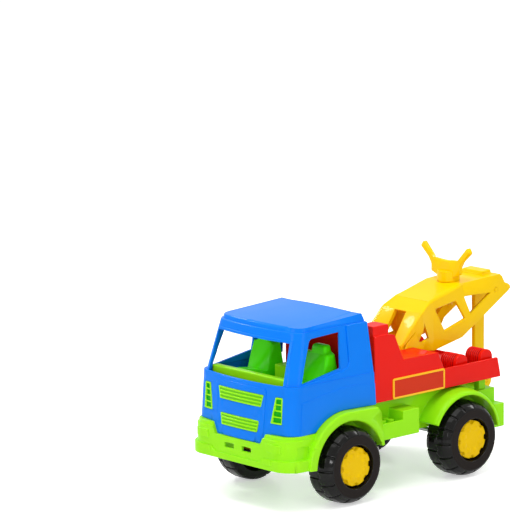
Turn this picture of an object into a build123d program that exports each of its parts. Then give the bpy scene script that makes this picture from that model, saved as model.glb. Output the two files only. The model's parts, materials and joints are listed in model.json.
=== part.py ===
from build123d import *
import math
import os

os.makedirs("parts", exist_ok=True)

# A plastic toy tow truck. Millimetres, +X forward, +Y to the truck's left, +Z up.
# Points of side views are (x, z): x forward of the front axle, z above the ground.

# Reach ahead of and behind the front axle, which puts the origin at the middle of the length
BUMPER_REACH = 66.4
BOOM_REACH = 231.5
FRONT_AXLE_X = (BOOM_REACH - BUMPER_REACH) / 2
WHEELBASE = 133.2

# Clearances
RUNNING_FIT = 0.05
SEAT_GAP = 0.1
BEARING_GAP = 0.3
CUT_PAST = 1.0

# Wheels
TYRE_RADIUS = 31.6
TREAD_DEPTH = 1.1
DISH_RADIUS = 18.1
LUG_COUNT = 15
GROOVE_WIDTH = 1.4
HUB_RADIUS = 16.0
HUB_BARREL_RADIUS = 7.5
HUB_NOTCHES = 8
HUB_NOTCH_RADIUS = 2.4
HUB_NOTCH_DEPTH = 2.0
HUB_BUMP_RING = 9.6
HUB_BUMP_RADIUS = 2.2
HUB_BUMP_HEIGHT = 0.5
AXLE_RADIUS = 2.0
WHEEL_GAP = 1.2
TYRE_WIDTH = 26.0

# Chassis
CHASSIS_WALL = 2.5
BUMPER_BOTTOM = 34.1
BUMPER_LEDGE = 43.5
BUMPER_BAND = 59.6
BUMPER_TOP = 62.6
BUMPER_REAR = 41.5
LIP_FACE = 65.9
BUMPER_FACE = 65.0
LIP_HALF = 62.7
BUMPER_HALF = 60.0
BUMPER_CORNER = 18.0
GRILLE_PANEL_TOP_HALF = 32.1
GRILLE_PANEL_FOOT_HALF = 27.1
GRILLE_PANEL_FOOT = 54.0
NOTCH_BACK = 56.0
TOW_SLOT = (10.8, 3.9)
TOW_SLOT_Y = 10.4
TOW_SLOT_Z = 46.6
DECK_HALF = 45.0
DECK_TOP = 74.7
TYRE_INNER_Y = DECK_HALF + WHEEL_GAP
TYRE_OUTER_Y = TYRE_INNER_Y + TYRE_WIDTH
TREAD_MIDDLE_Y = TYRE_INNER_Y + 11.2
WEB_INNER_Y = TYRE_OUTER_Y - 12.2
WEB_OUTER_Y = TYRE_OUTER_Y - 6.2
HUB_FACE_Y = TYRE_OUTER_Y - 2.0
DECK_REAR = 162.0
DECK_FRONT = 30.0
SILL_Z = 43.0
FLARE_Y = TYRE_OUTER_Y - 7.3
ARCH_RADIUS = 36.6
ARCH_Z = 31.3
GUARD_RADIUS = 44.8
GUARD_REAR = (-31.1, 75.1)
STEP_Y = 62.0
STEP_BOTTOM = 45.0
STEP_FRONT = 37.0
STEP_SPLIT = 61.5
STEP_REAR = 80.3
STEP_LOW_TOP = 59.0
STEP_HIGH_TOP = 66.3
STEP_TRAY_DEPTH = 4.0
STEP_RIM = 2.0
STUD_RADIUS = 2.7
STUD_HEIGHT = 6.0
STUD_BACKS = (43.6, 52.4)
STUD_WIDTHS = (49.8, 56.4)
TAIL_TOP = 64.0
TAIL_REAR = 187.3
TAIL_HOLLOW_TOP = 49.5
TAIL_POST_Y = 38.0
TAIL_POST_HALF = 4.0
TAIL_POST_BACK = 174.0
BEARING_RADIUS = 5.5
BEARING_WIDTH = 5.0

# Cab
CAB_WALL = 2.0
CAB_BOW = 6.0
CAB_CORNER = 12.0
CAB_BELT = 102.4
CAB_EAVES = 143.8
ROOF_FRONT = (40.4, CAB_EAVES + 4.4)
ROOF_REAR = (-28.1, CAB_EAVES + 8.0)
ROOF_CROWN = 1.5
SCREEN_RIM = 2.2
RIM_PROUD = 0.5
QUARTER_PROUD = 1.2
DOOR_PROUD = 0.35
PANEL_PROUD = 0.5
INSERT_PROUD = 0.4
INSERT_FRAME = 1.3
INSERT_SINK = 0.7
INSERT_CORNER = 1.0
RIDGE = 1.0
INTERIOR_FLOOR = 78.1
INTERIOR_THICK = 2.0
SEAT_Y = 32.7
SEAT_HALF = 14.0

# Bed
BED_WALL = 2.5
BED_HALF = 54.0
BED_BOTTOM = DECK_TOP + BEARING_GAP
BED_FRONT = 37.5
BED_REAR = 184.0
BED_RAIL = 91.8
BED_FLOOR = BED_BOTTOM + 0.6 * (BED_RAIL - BED_BOTTOM)
PEDESTAL_TOP = 106.7
PEDESTAL_FRONT = 70.4
PEDESTAL_REAR = 110.0
RAIL_FRONT = 117.5
POST_TOP = 130.5
SLOT_HALF = 25.0
POST_BLOCK_BACK = 54.5
POST_BLOCK_WIDTHS = (36.0, 52.5)
POST_BLOCK_TOP = 138.5
SLOT_FRONT = 62.0
DRUM_RADIUS = 7.0
DRUM_Z = BED_FLOOR + DRUM_RADIUS + BEARING_GAP
DRUM_INNER_Y = 31.0
DRUM_OUTER_Y = 49.5
DRUM_BACKS = (142.0, 171.5)
DRUM_RINGS = 9
DRUM_CAP = 3.0
RING_DEPTH = 0.7
DRUM_POCKET = 0.5
PLATE_THICK = 1.0
PLATE_BACKS = (57.5, 117.0)
PLATE_HEIGHTS = (75.2, 92.5)
PLATE_CORNER = 1.8

# Boom and hook
BOOM_HALF = 20.2
HOOD_HALF = 24.2
HOOD_BACK = 122.0
BOOM_NARROW = 138.0
BOOM_PLATE = 3.0
BOOM_PIN = (-106.0, 98.0)
BOOM_PIN_RADIUS = 2.5
BOOM_LUG_RADIUS = 6.0
BOOM_WINDOW_HALF = 6.9
HOOK_PIN = (-213.0, 140.5)
HOOK_PIN_RADIUS = 1.8
HOOK_ARM_THICK = 4.0
HOOK_EYE = (-216.5, 139.0)
HOOK_EYE_RADIUS = 9.0
HOOK_ARM_FRONT = 205.3
HOOK_ARM_BACK = 217.2
HOOK_CENTRE = (-216.0, 59.6)
HOOK_RADIUS = 11.0
HOOK_THROAT = 4.5
HANDLE_X = -176.0
HANDLE_FRONT = 172.0
HANDLE_BACK = 176.2
HANDLE_SEAT = 150.4
HANDLE_NECK = 160.0
BOSS_RADIUS = 9.6
SHANK_RADIUS = 3.2
SHANK_END = 129.5
LEVER_FOOT = (-161.4, 117.2)
LEVER_HALF = 3.4
LEVER_THICK = 4.0


def side_plane(y):
    """Side view at width y: x forward of the front axle, y up; extruding runs towards the truck's right."""
    return Plane(origin=(FRONT_AXLE_X, y, 0), x_dir=(1, 0, 0), z_dir=(0, -1, 0))


def plan_plane(z):
    """Plan view at height z, with x counted from the front axle."""
    return Plane(origin=(FRONT_AXLE_X, 0, z))


def front_plane(x):
    """Front view x ahead of the front axle: x to the truck's left, y up; extruding runs forward."""
    return Plane(origin=(FRONT_AXLE_X + x, 0, 0), x_dir=(0, 1, 0), z_dir=(1, 0, 0))


def polygon(plane, points):
    """Closed polygon of points on a plane."""
    with BuildSketch(plane) as face:
        with BuildLine():
            Polyline(*points, close=True)
        make_face()
    return face.sketch


def mirrored(half_outline):
    """Closed outline from one half of it, listed down one side."""
    return tuple(half_outline) + tuple((-y, z) for y, z in reversed(half_outline))


def side_prism(points, y_from, y_to, mode=Mode.ADD):
    """Side-view polygon carried from one width to another, added to or cut from the current part."""
    extrude(polygon(side_plane(max(y_from, y_to)), points), amount=abs(y_to - y_from), mode=mode)


def side_disc(centre, radius, y_from, y_to, mode=Mode.ADD):
    """Round bar or hole along Y between two widths."""
    with BuildSketch(side_plane(max(y_from, y_to))) as disc:
        with Locations(centre):
            Circle(radius)
    extrude(disc.sketch, amount=abs(y_to - y_from), mode=mode)


def block(x_span, y_span, z_span, mode=Mode.ADD):
    """Box between two x, two y and two z, added to or cut from the current part."""
    middle = [(low + high) / 2 for low, high in (x_span, y_span, z_span)]
    size = [abs(high - low) for low, high in (x_span, y_span, z_span)]
    with Locations((FRONT_AXLE_X + middle[0], middle[1], middle[2])):
        Box(*size, mode=mode)


def finish(piece, name):
    """Labels a finished sub-part and writes its file."""
    piece.part.label = name
    export_step(piece.part, f"parts/{name}.step")


# Wheels
AXLES = (("front", 0.0), ("rear", -WHEELBASE))
SIDES = (("left", 1), ("right", -1))
# Tyre section, columns: radius, distance from the truck's middle
TYRE_SECTION = (
    (HUB_BARREL_RADIUS, WEB_INNER_Y),
    (DISH_RADIUS + 2.9, WEB_INNER_Y),
    (DISH_RADIUS + 5.4, TYRE_INNER_Y),
    (TYRE_RADIUS - 3.2, TYRE_INNER_Y),
    (TYRE_RADIUS - 0.7, TYRE_INNER_Y + 1.2),
    (TYRE_RADIUS, TYRE_INNER_Y + 4.0),
    (TYRE_RADIUS, TYRE_OUTER_Y - 11.8),
    (TYRE_RADIUS - 0.8, TYRE_OUTER_Y - 7.0),
    (TYRE_RADIUS - 2.6, TYRE_OUTER_Y - 3.6),
    (TYRE_RADIUS - 5.4, TYRE_OUTER_Y - 0.8),
    (DISH_RADIUS + 4.4, TYRE_OUTER_Y),
    (DISH_RADIUS, TYRE_OUTER_Y),
    (HUB_RADIUS + 0.8, WEB_OUTER_Y),
    (HUB_BARREL_RADIUS, WEB_OUTER_Y),
)
# Groove rows, columns: y at the shoulder, share of a pitch that the row is turned by
GROOVE_ROWS = ((TYRE_OUTER_Y, 0.0), (TYRE_INNER_Y, 0.5))

for axle_name, axle_x in AXLES:
    with BuildPart() as axle:
        side_disc((axle_x, TYRE_RADIUS), AXLE_RADIUS, -WEB_OUTER_Y, WEB_OUTER_Y)
    finish(axle, f"{axle_name}_axle")
    wheel_centre = (FRONT_AXLE_X + axle_x, 0, TYRE_RADIUS)

    for side_name, side in SIDES:
        with BuildPart() as tyre:
            with BuildSketch(Plane(origin=wheel_centre, x_dir=(1, 0, 0), z_dir=(0, 0, 1))):
                with BuildLine():
                    Polyline(*[(radius, side * y) for radius, y in TYRE_SECTION], close=True)
                make_face()
            revolve(axis=Axis(wheel_centre, (0, 1, 0)))
            # Narrow grooves across both shoulders leave the broad lugs standing
            for shoulder_y, turn in GROOVE_ROWS:
                groove_y = side * (shoulder_y + TREAD_MIDDLE_Y) / 2
                groove_length = abs(shoulder_y - TREAD_MIDDLE_Y)
                with Locations(side_plane(groove_y)):
                    with Locations((axle_x, TYRE_RADIUS)):
                        with PolarLocations(TYRE_RADIUS, LUG_COUNT, start_angle=turn * 360 / LUG_COUNT):
                            Box(2 * TREAD_DEPTH, GROOVE_WIDTH, groove_length, mode=Mode.SUBTRACT)
        finish(tyre, f"{axle_name}_tyre_{side_name}")

        barrel_start = DECK_HALF + BEARING_GAP
        outward = Plane(
            origin=(wheel_centre[0], side * barrel_start, TYRE_RADIUS),
            x_dir=(1, 0, 0),
            z_dir=(0, side, 0),
        )
        with BuildPart() as hub:
            with BuildSketch(outward):
                Circle(HUB_BARREL_RADIUS)
            extrude(amount=WEB_OUTER_Y - barrel_start)
            with BuildSketch(outward.offset(WEB_OUTER_Y - barrel_start)):
                Circle(HUB_RADIUS)
            extrude(amount=HUB_FACE_Y - WEB_OUTER_Y)
            with BuildSketch(outward.offset(HUB_FACE_Y - HUB_NOTCH_DEPTH - barrel_start)):
                with PolarLocations(HUB_RADIUS, HUB_NOTCHES):
                    Circle(HUB_NOTCH_RADIUS)
            extrude(amount=HUB_NOTCH_DEPTH + CUT_PAST, mode=Mode.SUBTRACT)
            with BuildSketch(outward.offset(HUB_FACE_Y - barrel_start)):
                with PolarLocations(HUB_BUMP_RING, HUB_NOTCHES, start_angle=180 / HUB_NOTCHES):
                    Circle(HUB_BUMP_RADIUS)
            extrude(amount=HUB_BUMP_HEIGHT)
            with BuildSketch(outward):
                Circle(AXLE_RADIUS)
            extrude(amount=WEB_OUTER_Y - barrel_start, mode=Mode.SUBTRACT)
        finish(hub, f"{axle_name}_hub_{side_name}")


# Chassis
# Bumper tiers, columns: bottom, top, front, half width
BUMPER_TIERS = (
    (BUMPER_BOTTOM, BUMPER_LEDGE, LIP_FACE, LIP_HALF),
    (BUMPER_LEDGE, BUMPER_BAND, BUMPER_FACE, BUMPER_HALF),
    (BUMPER_BAND, BUMPER_TOP, BUMPER_FACE - 1.0, BUMPER_HALF - 1.0),
)
BUMPER_DEPTH = 33.5
# Lamp pads and foot squares on the bumper corners, columns: y from, y to, z from, z to
LAMP_PAD = (35.0, 50.5, 49.2, 56.0)
FOOT_SQUARE = (32.0, 41.0, 38.5, 43.0)
PAD_PROUD = 0.8
# The lip is cut down between its two ends, (y, z)
LIP_GAP = ((31.0, BUMPER_LEDGE + CUT_PAST), (31.0, BUMPER_LEDGE), (27.0, 39.3))
# Sunk panel in the bumper's sides, columns: front, top, depth
SIDE_PANEL = (55.7, 54.1, 1.2)
# Hollows under the bumper, columns: front, half width, top
BUMPER_HOLLOWS = (
    (NOTCH_BACK - 2 * CHASSIS_WALL, 50.0, BUMPER_BAND - CHASSIS_WALL),
    (BUMPER_FACE - CHASSIS_WALL, 42.0, GRILLE_PANEL_FOOT - 2 * CHASSIS_WALL),
)
HOLLOW_BACK = 20.0


def bumper_outline(z, front, half):
    """Plan of the bumper at height z, square behind with rounded front corners."""
    with BuildSketch(plan_plane(z)) as outline:
        with Locations((front - BUMPER_DEPTH / 2, 0)):
            Rectangle(BUMPER_DEPTH, 2 * half)
        fillet(outline.vertices().group_by(Axis.X)[-1], BUMPER_CORNER)
    return outline.sketch


def guard_arc(lift, low):
    """Front and top line of the front mudguard, about the wheel, from height low to its rear edge."""
    radius = GUARD_RADIUS + lift
    foot = (math.sqrt(radius**2 - (low - ARCH_Z) ** 2), low)
    halfway = math.radians(45 + math.degrees(math.asin((low - ARCH_Z) / radius)) / 2)
    middle = (radius * math.cos(halfway), ARCH_Z + radius * math.sin(halfway))
    with BuildLine(mode=Mode.PRIVATE) as line:
        ThreePointArc(foot, middle, (0, ARCH_Z + radius))
        Line((0, ARCH_Z + radius), (GUARD_REAR[0], GUARD_REAR[1] + lift))
    return line.line, foot


# Rear edge of the front mudguard below its top, and its foot by the bumper
GUARD_BACK = ((-34.3, 71.0), (-37.9, SILL_Z - 0.5), (0, ARCH_Z))
# Rear mudguard section, columns: radius from the axle, distance from the truck's middle
REAR_GUARD_SECTION = (
    (ARCH_RADIUS, DECK_HALF - 1),
    (ARCH_RADIUS, FLARE_Y),
    (ARCH_RADIUS + 2.4, FLARE_Y),
    (ARCH_RADIUS + 4.0, FLARE_Y - 2.6),
    (ARCH_RADIUS + 5.0, FLARE_Y - 9.0),
    (ARCH_RADIUS + 5.2, DECK_HALF - 1),
)
REAR_GUARD_START = 26.0
REAR_GUARD_SWEEP = 146.0
# Rear block tiers, columns: front, rear, half width, bottom, top
TAIL_TIERS = (
    (175.0, TAIL_REAR, 55.0, 32.0, 52.0),
    (DECK_REAR - 1, 186.0, DECK_HALF, SILL_Z, TAIL_TOP),
)

with BuildPart() as lamp_pads:
    pad_inner, pad_outer, pad_bottom, pad_top = LAMP_PAD
    pad_shape = bumper_outline(pad_bottom, BUMPER_FACE + PAD_PROUD, BUMPER_HALF + PAD_PROUD)
    extrude(pad_shape, amount=pad_top - pad_bottom)
    with BuildSketch(front_plane(BUMPER_REAR)):
        for side in (1, -1):
            with Locations((side * (pad_inner + pad_outer) / 2, (pad_bottom + pad_top) / 2)):
                Rectangle(pad_outer - pad_inner, pad_top - pad_bottom)
    extrude(amount=BUMPER_REACH, mode=Mode.INTERSECT)

with BuildPart() as chassis:
    # Bumper, then its pads
    for low, high, front, half in BUMPER_TIERS:
        extrude(bumper_outline(low, front, half), amount=high - low)
    add(lamp_pads.part)
    extrude(polygon(front_plane(BUMPER_FACE), mirrored(LIP_GAP)), amount=BUMPER_REACH, mode=Mode.SUBTRACT)
    panel_front, panel_top, panel_depth = SIDE_PANEL
    for side in (1, -1):
        square_y = (side * FOOT_SQUARE[0], side * FOOT_SQUARE[1])
        block((BUMPER_FACE, BUMPER_REACH), square_y, FOOT_SQUARE[2:])
        panel_y = (side * (BUMPER_HALF - panel_depth), side * LIP_HALF)
        block((BUMPER_REAR, panel_front), panel_y, (BUMPER_LEDGE, panel_top), mode=Mode.SUBTRACT)
    # Open below, in two depths to pass under the grille notch
    for face, half, roof in BUMPER_HOLLOWS:
        block((HOLLOW_BACK, face), (-half, half), (BUMPER_BOTTOM - CUT_PAST, roof), mode=Mode.SUBTRACT)
    notch = (
        (GRILLE_PANEL_FOOT_HALF + SEAT_GAP, GRILLE_PANEL_FOOT - SEAT_GAP),
        (GRILLE_PANEL_TOP_HALF + SEAT_GAP, BUMPER_TOP),
        (GRILLE_PANEL_TOP_HALF + SEAT_GAP, BUMPER_TOP + CUT_PAST),
    )
    notch_depth = BUMPER_REACH - NOTCH_BACK
    extrude(polygon(front_plane(NOTCH_BACK), mirrored(notch)), amount=notch_depth, mode=Mode.SUBTRACT)
    with BuildSketch(front_plane(BUMPER_FACE - 2 * CHASSIS_WALL)):
        with Locations((-TOW_SLOT_Y, TOW_SLOT_Z), (TOW_SLOT_Y, TOW_SLOT_Z)):
            Rectangle(*TOW_SLOT)
    extrude(amount=3 * CHASSIS_WALL, mode=Mode.SUBTRACT)

    # Centre box: deck and walls, open below
    block((-DECK_REAR, DECK_FRONT), (-DECK_HALF, DECK_HALF), (SILL_Z, DECK_TOP))
    block((DECK_FRONT - 2 * CHASSIS_WALL, BUMPER_REAR), (-DECK_HALF, DECK_HALF), (SILL_Z, BUMPER_BAND))
    inner_y = (-DECK_HALF + CHASSIS_WALL, DECK_HALF - CHASSIS_WALL)
    inner_x = (-DECK_REAR + CHASSIS_WALL, DECK_FRONT - CHASSIS_WALL)
    block(inner_x, inner_y, (SILL_Z - CUT_PAST, DECK_TOP - CHASSIS_WALL), mode=Mode.SUBTRACT)
    passage_x = (DECK_FRONT - 3 * CHASSIS_WALL, BUMPER_REAR + CUT_PAST)
    block(passage_x, inner_y, (SILL_Z - CUT_PAST, BUMPER_BAND - CHASSIS_WALL), mode=Mode.SUBTRACT)
    for front, rear, half, bottom, top in TAIL_TIERS:
        block((-rear, -front), (-half, half), (bottom, top))
        hollow_x = (CHASSIS_WALL - rear, -CHASSIS_WALL - front)
        hollow_top = min(top - CHASSIS_WALL, TAIL_HOLLOW_TOP)
        hollow_z = (bottom - CUT_PAST, hollow_top)
        block(hollow_x, (CHASSIS_WALL - half, half - CHASSIS_WALL), hollow_z, mode=Mode.SUBTRACT)

    for side in (1, -1):
        # Front mudguard
        with BuildSketch(side_plane(max(side * FLARE_Y, side * (DECK_HALF - CUT_PAST)))):
            with BuildLine():
                curve, foot = guard_arc(0, BUMPER_BOTTOM)
                add(curve)
                Polyline(GUARD_REAR, *GUARD_BACK, foot)
            make_face()
        extrude(amount=FLARE_Y - DECK_HALF + CUT_PAST)
        # Rear mudguard
        rear_wheel = (FRONT_AXLE_X - WHEELBASE, 0, ARCH_Z)
        start = math.radians(REAR_GUARD_START)
        outward_x = (math.cos(start), 0, math.sin(start))
        radial = Plane(origin=rear_wheel, x_dir=outward_x, z_dir=(-math.sin(start), 0, math.cos(start)))
        revolve(
            polygon(radial, [(radius, side * y) for radius, y in REAR_GUARD_SECTION]),
            axis=Axis(rear_wheel, (0, -1, 0)),
            revolution_arc=REAR_GUARD_SWEEP,
        )
        # Side step with its sunk tray and four studs
        step_y = (side * (DECK_HALF - CUT_PAST), side * STEP_Y)
        block((-STEP_SPLIT, -STEP_FRONT), step_y, (STEP_BOTTOM, STEP_LOW_TOP))
        block((-STEP_REAR, -STEP_SPLIT), step_y, (STEP_BOTTOM, STEP_HIGH_TOP))
        tray_z = (STEP_LOW_TOP - STEP_TRAY_DEPTH, STEP_LOW_TOP + CUT_PAST)
        tray_y = (side * DECK_HALF, side * (STEP_Y - STEP_RIM))
        block((-STEP_SPLIT, -STEP_FRONT - STEP_RIM), tray_y, tray_z, mode=Mode.SUBTRACT)
        with BuildSketch(plan_plane(STEP_LOW_TOP - STEP_TRAY_DEPTH - CUT_PAST)):
            for stud_back in STUD_BACKS:
                for stud_y in STUD_WIDTHS:
                    with Locations((-stud_back, side * stud_y)):
                        Circle(STUD_RADIUS)
        extrude(amount=STUD_HEIGHT)
        # Arch of the front wheel and pads that carry the axles
        arch_y = (side * DECK_HALF, side * (FLARE_Y + CUT_PAST))
        side_disc((0, ARCH_Z), ARCH_RADIUS, *arch_y, mode=Mode.SUBTRACT)
        pad_y = (side * (DECK_HALF - BEARING_WIDTH), side * DECK_HALF)
        for axle_name, axle_x in AXLES:
            bearing = (axle_x, TYRE_RADIUS)
            side_disc(bearing, BEARING_RADIUS, *pad_y)
            pad_x = (axle_x - BEARING_RADIUS, axle_x + BEARING_RADIUS)
            block(pad_x, pad_y, (TYRE_RADIUS, SILL_Z + BEARING_WIDTH))
            bore_y = (side * (DECK_HALF - BEARING_WIDTH - CUT_PAST), side * (DECK_HALF + CUT_PAST))
            side_disc(bearing, AXLE_RADIUS + RUNNING_FIT, *bore_y, mode=Mode.SUBTRACT)
        # Post that holds the bed's tail
        post_x = (-TAIL_POST_BACK - TAIL_POST_HALF, -TAIL_POST_BACK + TAIL_POST_HALF)
        post_y = (side * (TAIL_POST_Y - TAIL_POST_HALF), side * (TAIL_POST_Y + TAIL_POST_HALF))
        block(post_x, post_y, (TAIL_TOP - CUT_PAST, BED_FLOOR - BED_WALL - SEAT_GAP))
finish(chassis, "chassis")


# Cab
# Shell sections, columns: height, front at the middle, half width
LOWER_SECTIONS = ((GRILLE_PANEL_FOOT, 63.8, 58.0), (CAB_BELT, 60.4, 56.9))
UPPER_SECTIONS = ((CAB_BELT, 58.7, 55.2), (CAB_EAVES, 47.0, 49.9))
ROOF_SECTIONS = ((CAB_EAVES, 45.8, 48.7), (CAB_EAVES + 12.0, 42.4, 47.2))
CAB_BACK = 60.0
# Sides of the cutting blocks that reach past the whole cab
PAST_CAB = 70.0
# Everything behind this side-view outline is cut away
REAR_EDGE = (
    (-28.0, CAB_EAVES + 20.0),
    (-28.0, CAB_EAVES + 8.2),
    (-32.0, CAB_EAVES - 1.3),
    (-35.0, 77.0),
    (-35.0, 50.0),
    (-PAST_CAB, 50.0),
    (-PAST_CAB, CAB_EAVES + 20.0),
)


def cab_section(z, front, half, inset):
    """Plan section of the cab: slightly bowed front, rounded front corners, straight sides."""
    corner_x = front - CAB_BOW - inset
    side_y = half - inset
    with BuildSketch(plan_plane(z)) as section:
        with BuildLine():
            ThreePointArc((corner_x, -side_y), (front - inset, 0), (corner_x, side_y))
            Polyline((corner_x, side_y), (-CAB_BACK, side_y), (-CAB_BACK, -side_y), (corner_x, -side_y))
        make_face()
        fillet(section.vertices().group_by(Axis.X)[-1], CAB_CORNER - inset)
    return section.sketch


def stretched(sections, down, up):
    """The same two sections with the tier's lines carried on below and above them."""
    (low_z, low_front, low_half), (high_z, high_front, high_half) = sections
    lean = (high_front - low_front) / (high_z - low_z)
    taper = (high_half - low_half) / (high_z - low_z)
    return (
        (low_z - down, low_front - down * lean, low_half - down * taper),
        (high_z + up, high_front + up * lean, high_half + up * taper),
    )


def cab_loft(sections, inset=0, mode=Mode.ADD):
    """Straight loft between the sections of one tier of the cab."""
    loft([cab_section(z, front, half, inset) for z, front, half in sections], mode=mode)


def skin(sections, outer, inner, sketch):
    """Layer of a tier between two insets, where it lies within an outline carried through the cab."""
    with BuildPart() as layer:
        cab_loft(sections, -outer)
        cab_loft(sections, inner, mode=Mode.SUBTRACT)
        extrude(sketch, amount=2 * PAST_CAB, mode=Mode.INTERSECT)
    return layer.part


# Front of the cab that reaches down into the bumper's notch, and the raised panel on it, (y, z)
GRILLE_PANEL = (
    (GRILLE_PANEL_FOOT_HALF, GRILLE_PANEL_FOOT),
    (GRILLE_PANEL_TOP_HALF, BUMPER_TOP),
    (GRILLE_PANEL_TOP_HALF, BUMPER_TOP + 2),
)
RAISED_PANEL = ((29.8, 98.7), (28.0, BUMPER_TOP), (24.8, GRILLE_PANEL_FOOT))
RAISED_CORNER = 3.0
# Grilles, columns: name, half width at the top, top, half width at the foot, foot
GRILLES = (("grille_upper", 27.1, 93.3, 24.7, 83.4), ("grille_lower", 23.1, 72.0, 21.3, 62.4))
GRILLE_RIDGES = 3
# Headlamp outline, (y, z), and the number of bars across it
HEADLAMP = ((46.6, 71.7), (46.6, 93.3), (39.4, 93.3), (35.2, 71.7))
LAMP_BARS = 3
# Plane inside the cab from which the grilles and lamps are carried forward
INSERT_PLANE = front_plane(BUMPER_REAR)
SCREEN_TOP = CAB_EAVES - 8.3
# Windscreen with the raised rim round its sides and top, (y, z)
WINDSCREEN = ((45.0, CAB_BELT), (42.7, SCREEN_TOP))
SCREEN_FRAME = ((45.0 + SCREEN_RIM, CAB_BELT), (42.7 + SCREEN_RIM, SCREEN_TOP + SCREEN_RIM))
SIDE_WINDOW = (
    (31.0, CAB_EAVES - 5.8),
    (-1.5, CAB_EAVES - 4.5),
    (0.8, CAB_BELT + 7.9),
    (44.5, CAB_BELT + 0.9),
)
WINDOW_CORNER = 1.2
WINDOW_FRONT_CORNER = 5.0
# Rear part of the upper tier that stands proud of the window's field
QUARTER = (
    (48.0, CAB_BELT),
    (46.1, CAB_BELT + 0.4),
    (0.8, CAB_BELT + 5.5),
    (-6.4, CAB_BELT + 7.8),
    (-8.6, CAB_BELT + 11.4),
    (-8.9, CAB_EAVES),
    (-PAST_CAB, CAB_EAVES),
    (-PAST_CAB, CAB_BELT),
)
# Door skin, raised below a bent crease
DOOR_SKIN = (
    (48.4, 61.9),
    (46.2, 88.8),
    (21.8, 92.8),
    (-0.3, 95.1),
    (-13.4, 95.3),
    (-40.0, 92.6),
    (-40.0, 61.9),
)


def slanted(low, high, z):
    """Half width at height z on the straight line between two (half width, height) points."""
    return low[0] + (high[0] - low[0]) * (z - low[1]) / (high[1] - low[1])


def grille_outline(table, gap=0):
    """Front-view outline of one grille with rounded corners, grown by gap."""
    top_half, top, foot_half, foot = table
    with BuildSketch(INSERT_PLANE) as outline:
        with BuildLine():
            Polyline(*mirrored(((top_half + gap, top + gap), (foot_half + gap, foot - gap))), close=True)
        make_face()
        fillet(outline.vertices(), INSERT_CORNER + gap)
    return outline.sketch


def headlamp_outline(side, gap=0):
    """Front-view outline of one headlamp with rounded corners, grown by gap."""
    with BuildSketch(INSERT_PLANE) as lamp:
        with BuildLine():
            Polyline(*[(side * y, z) for y, z in HEADLAMP], close=True)
        make_face()
        if gap:
            offset(amount=gap, kind=Kind.INTERSECTION)
        fillet(lamp.vertices(), INSERT_CORNER + gap)
    return lamp.sketch


def cells(low_z, high_z, bars):
    """Heights between which a framed insert is sunk: the cells that its bars leave."""
    pitch = (high_z - low_z + RIDGE) / (bars + 1)
    return [(low_z + cell * pitch, low_z + (cell + 1) * pitch - RIDGE) for cell in range(bars + 1)]


with BuildPart() as grille_panel:
    panel_plane = front_plane(NOTCH_BACK + CUT_PAST)
    add(skin(LOWER_SECTIONS, 0, CAB_WALL, polygon(panel_plane, mirrored(GRILLE_PANEL))))
    with BuildSketch(panel_plane) as raised:
        with BuildLine():
            Polyline(*mirrored(RAISED_PANEL), close=True)
        make_face()
        fillet(raised.vertices().group_by(Axis.Y)[-1], RAISED_CORNER)
    add(skin(LOWER_SECTIONS, PANEL_PROUD, CAB_WALL, raised.sketch))

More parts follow.
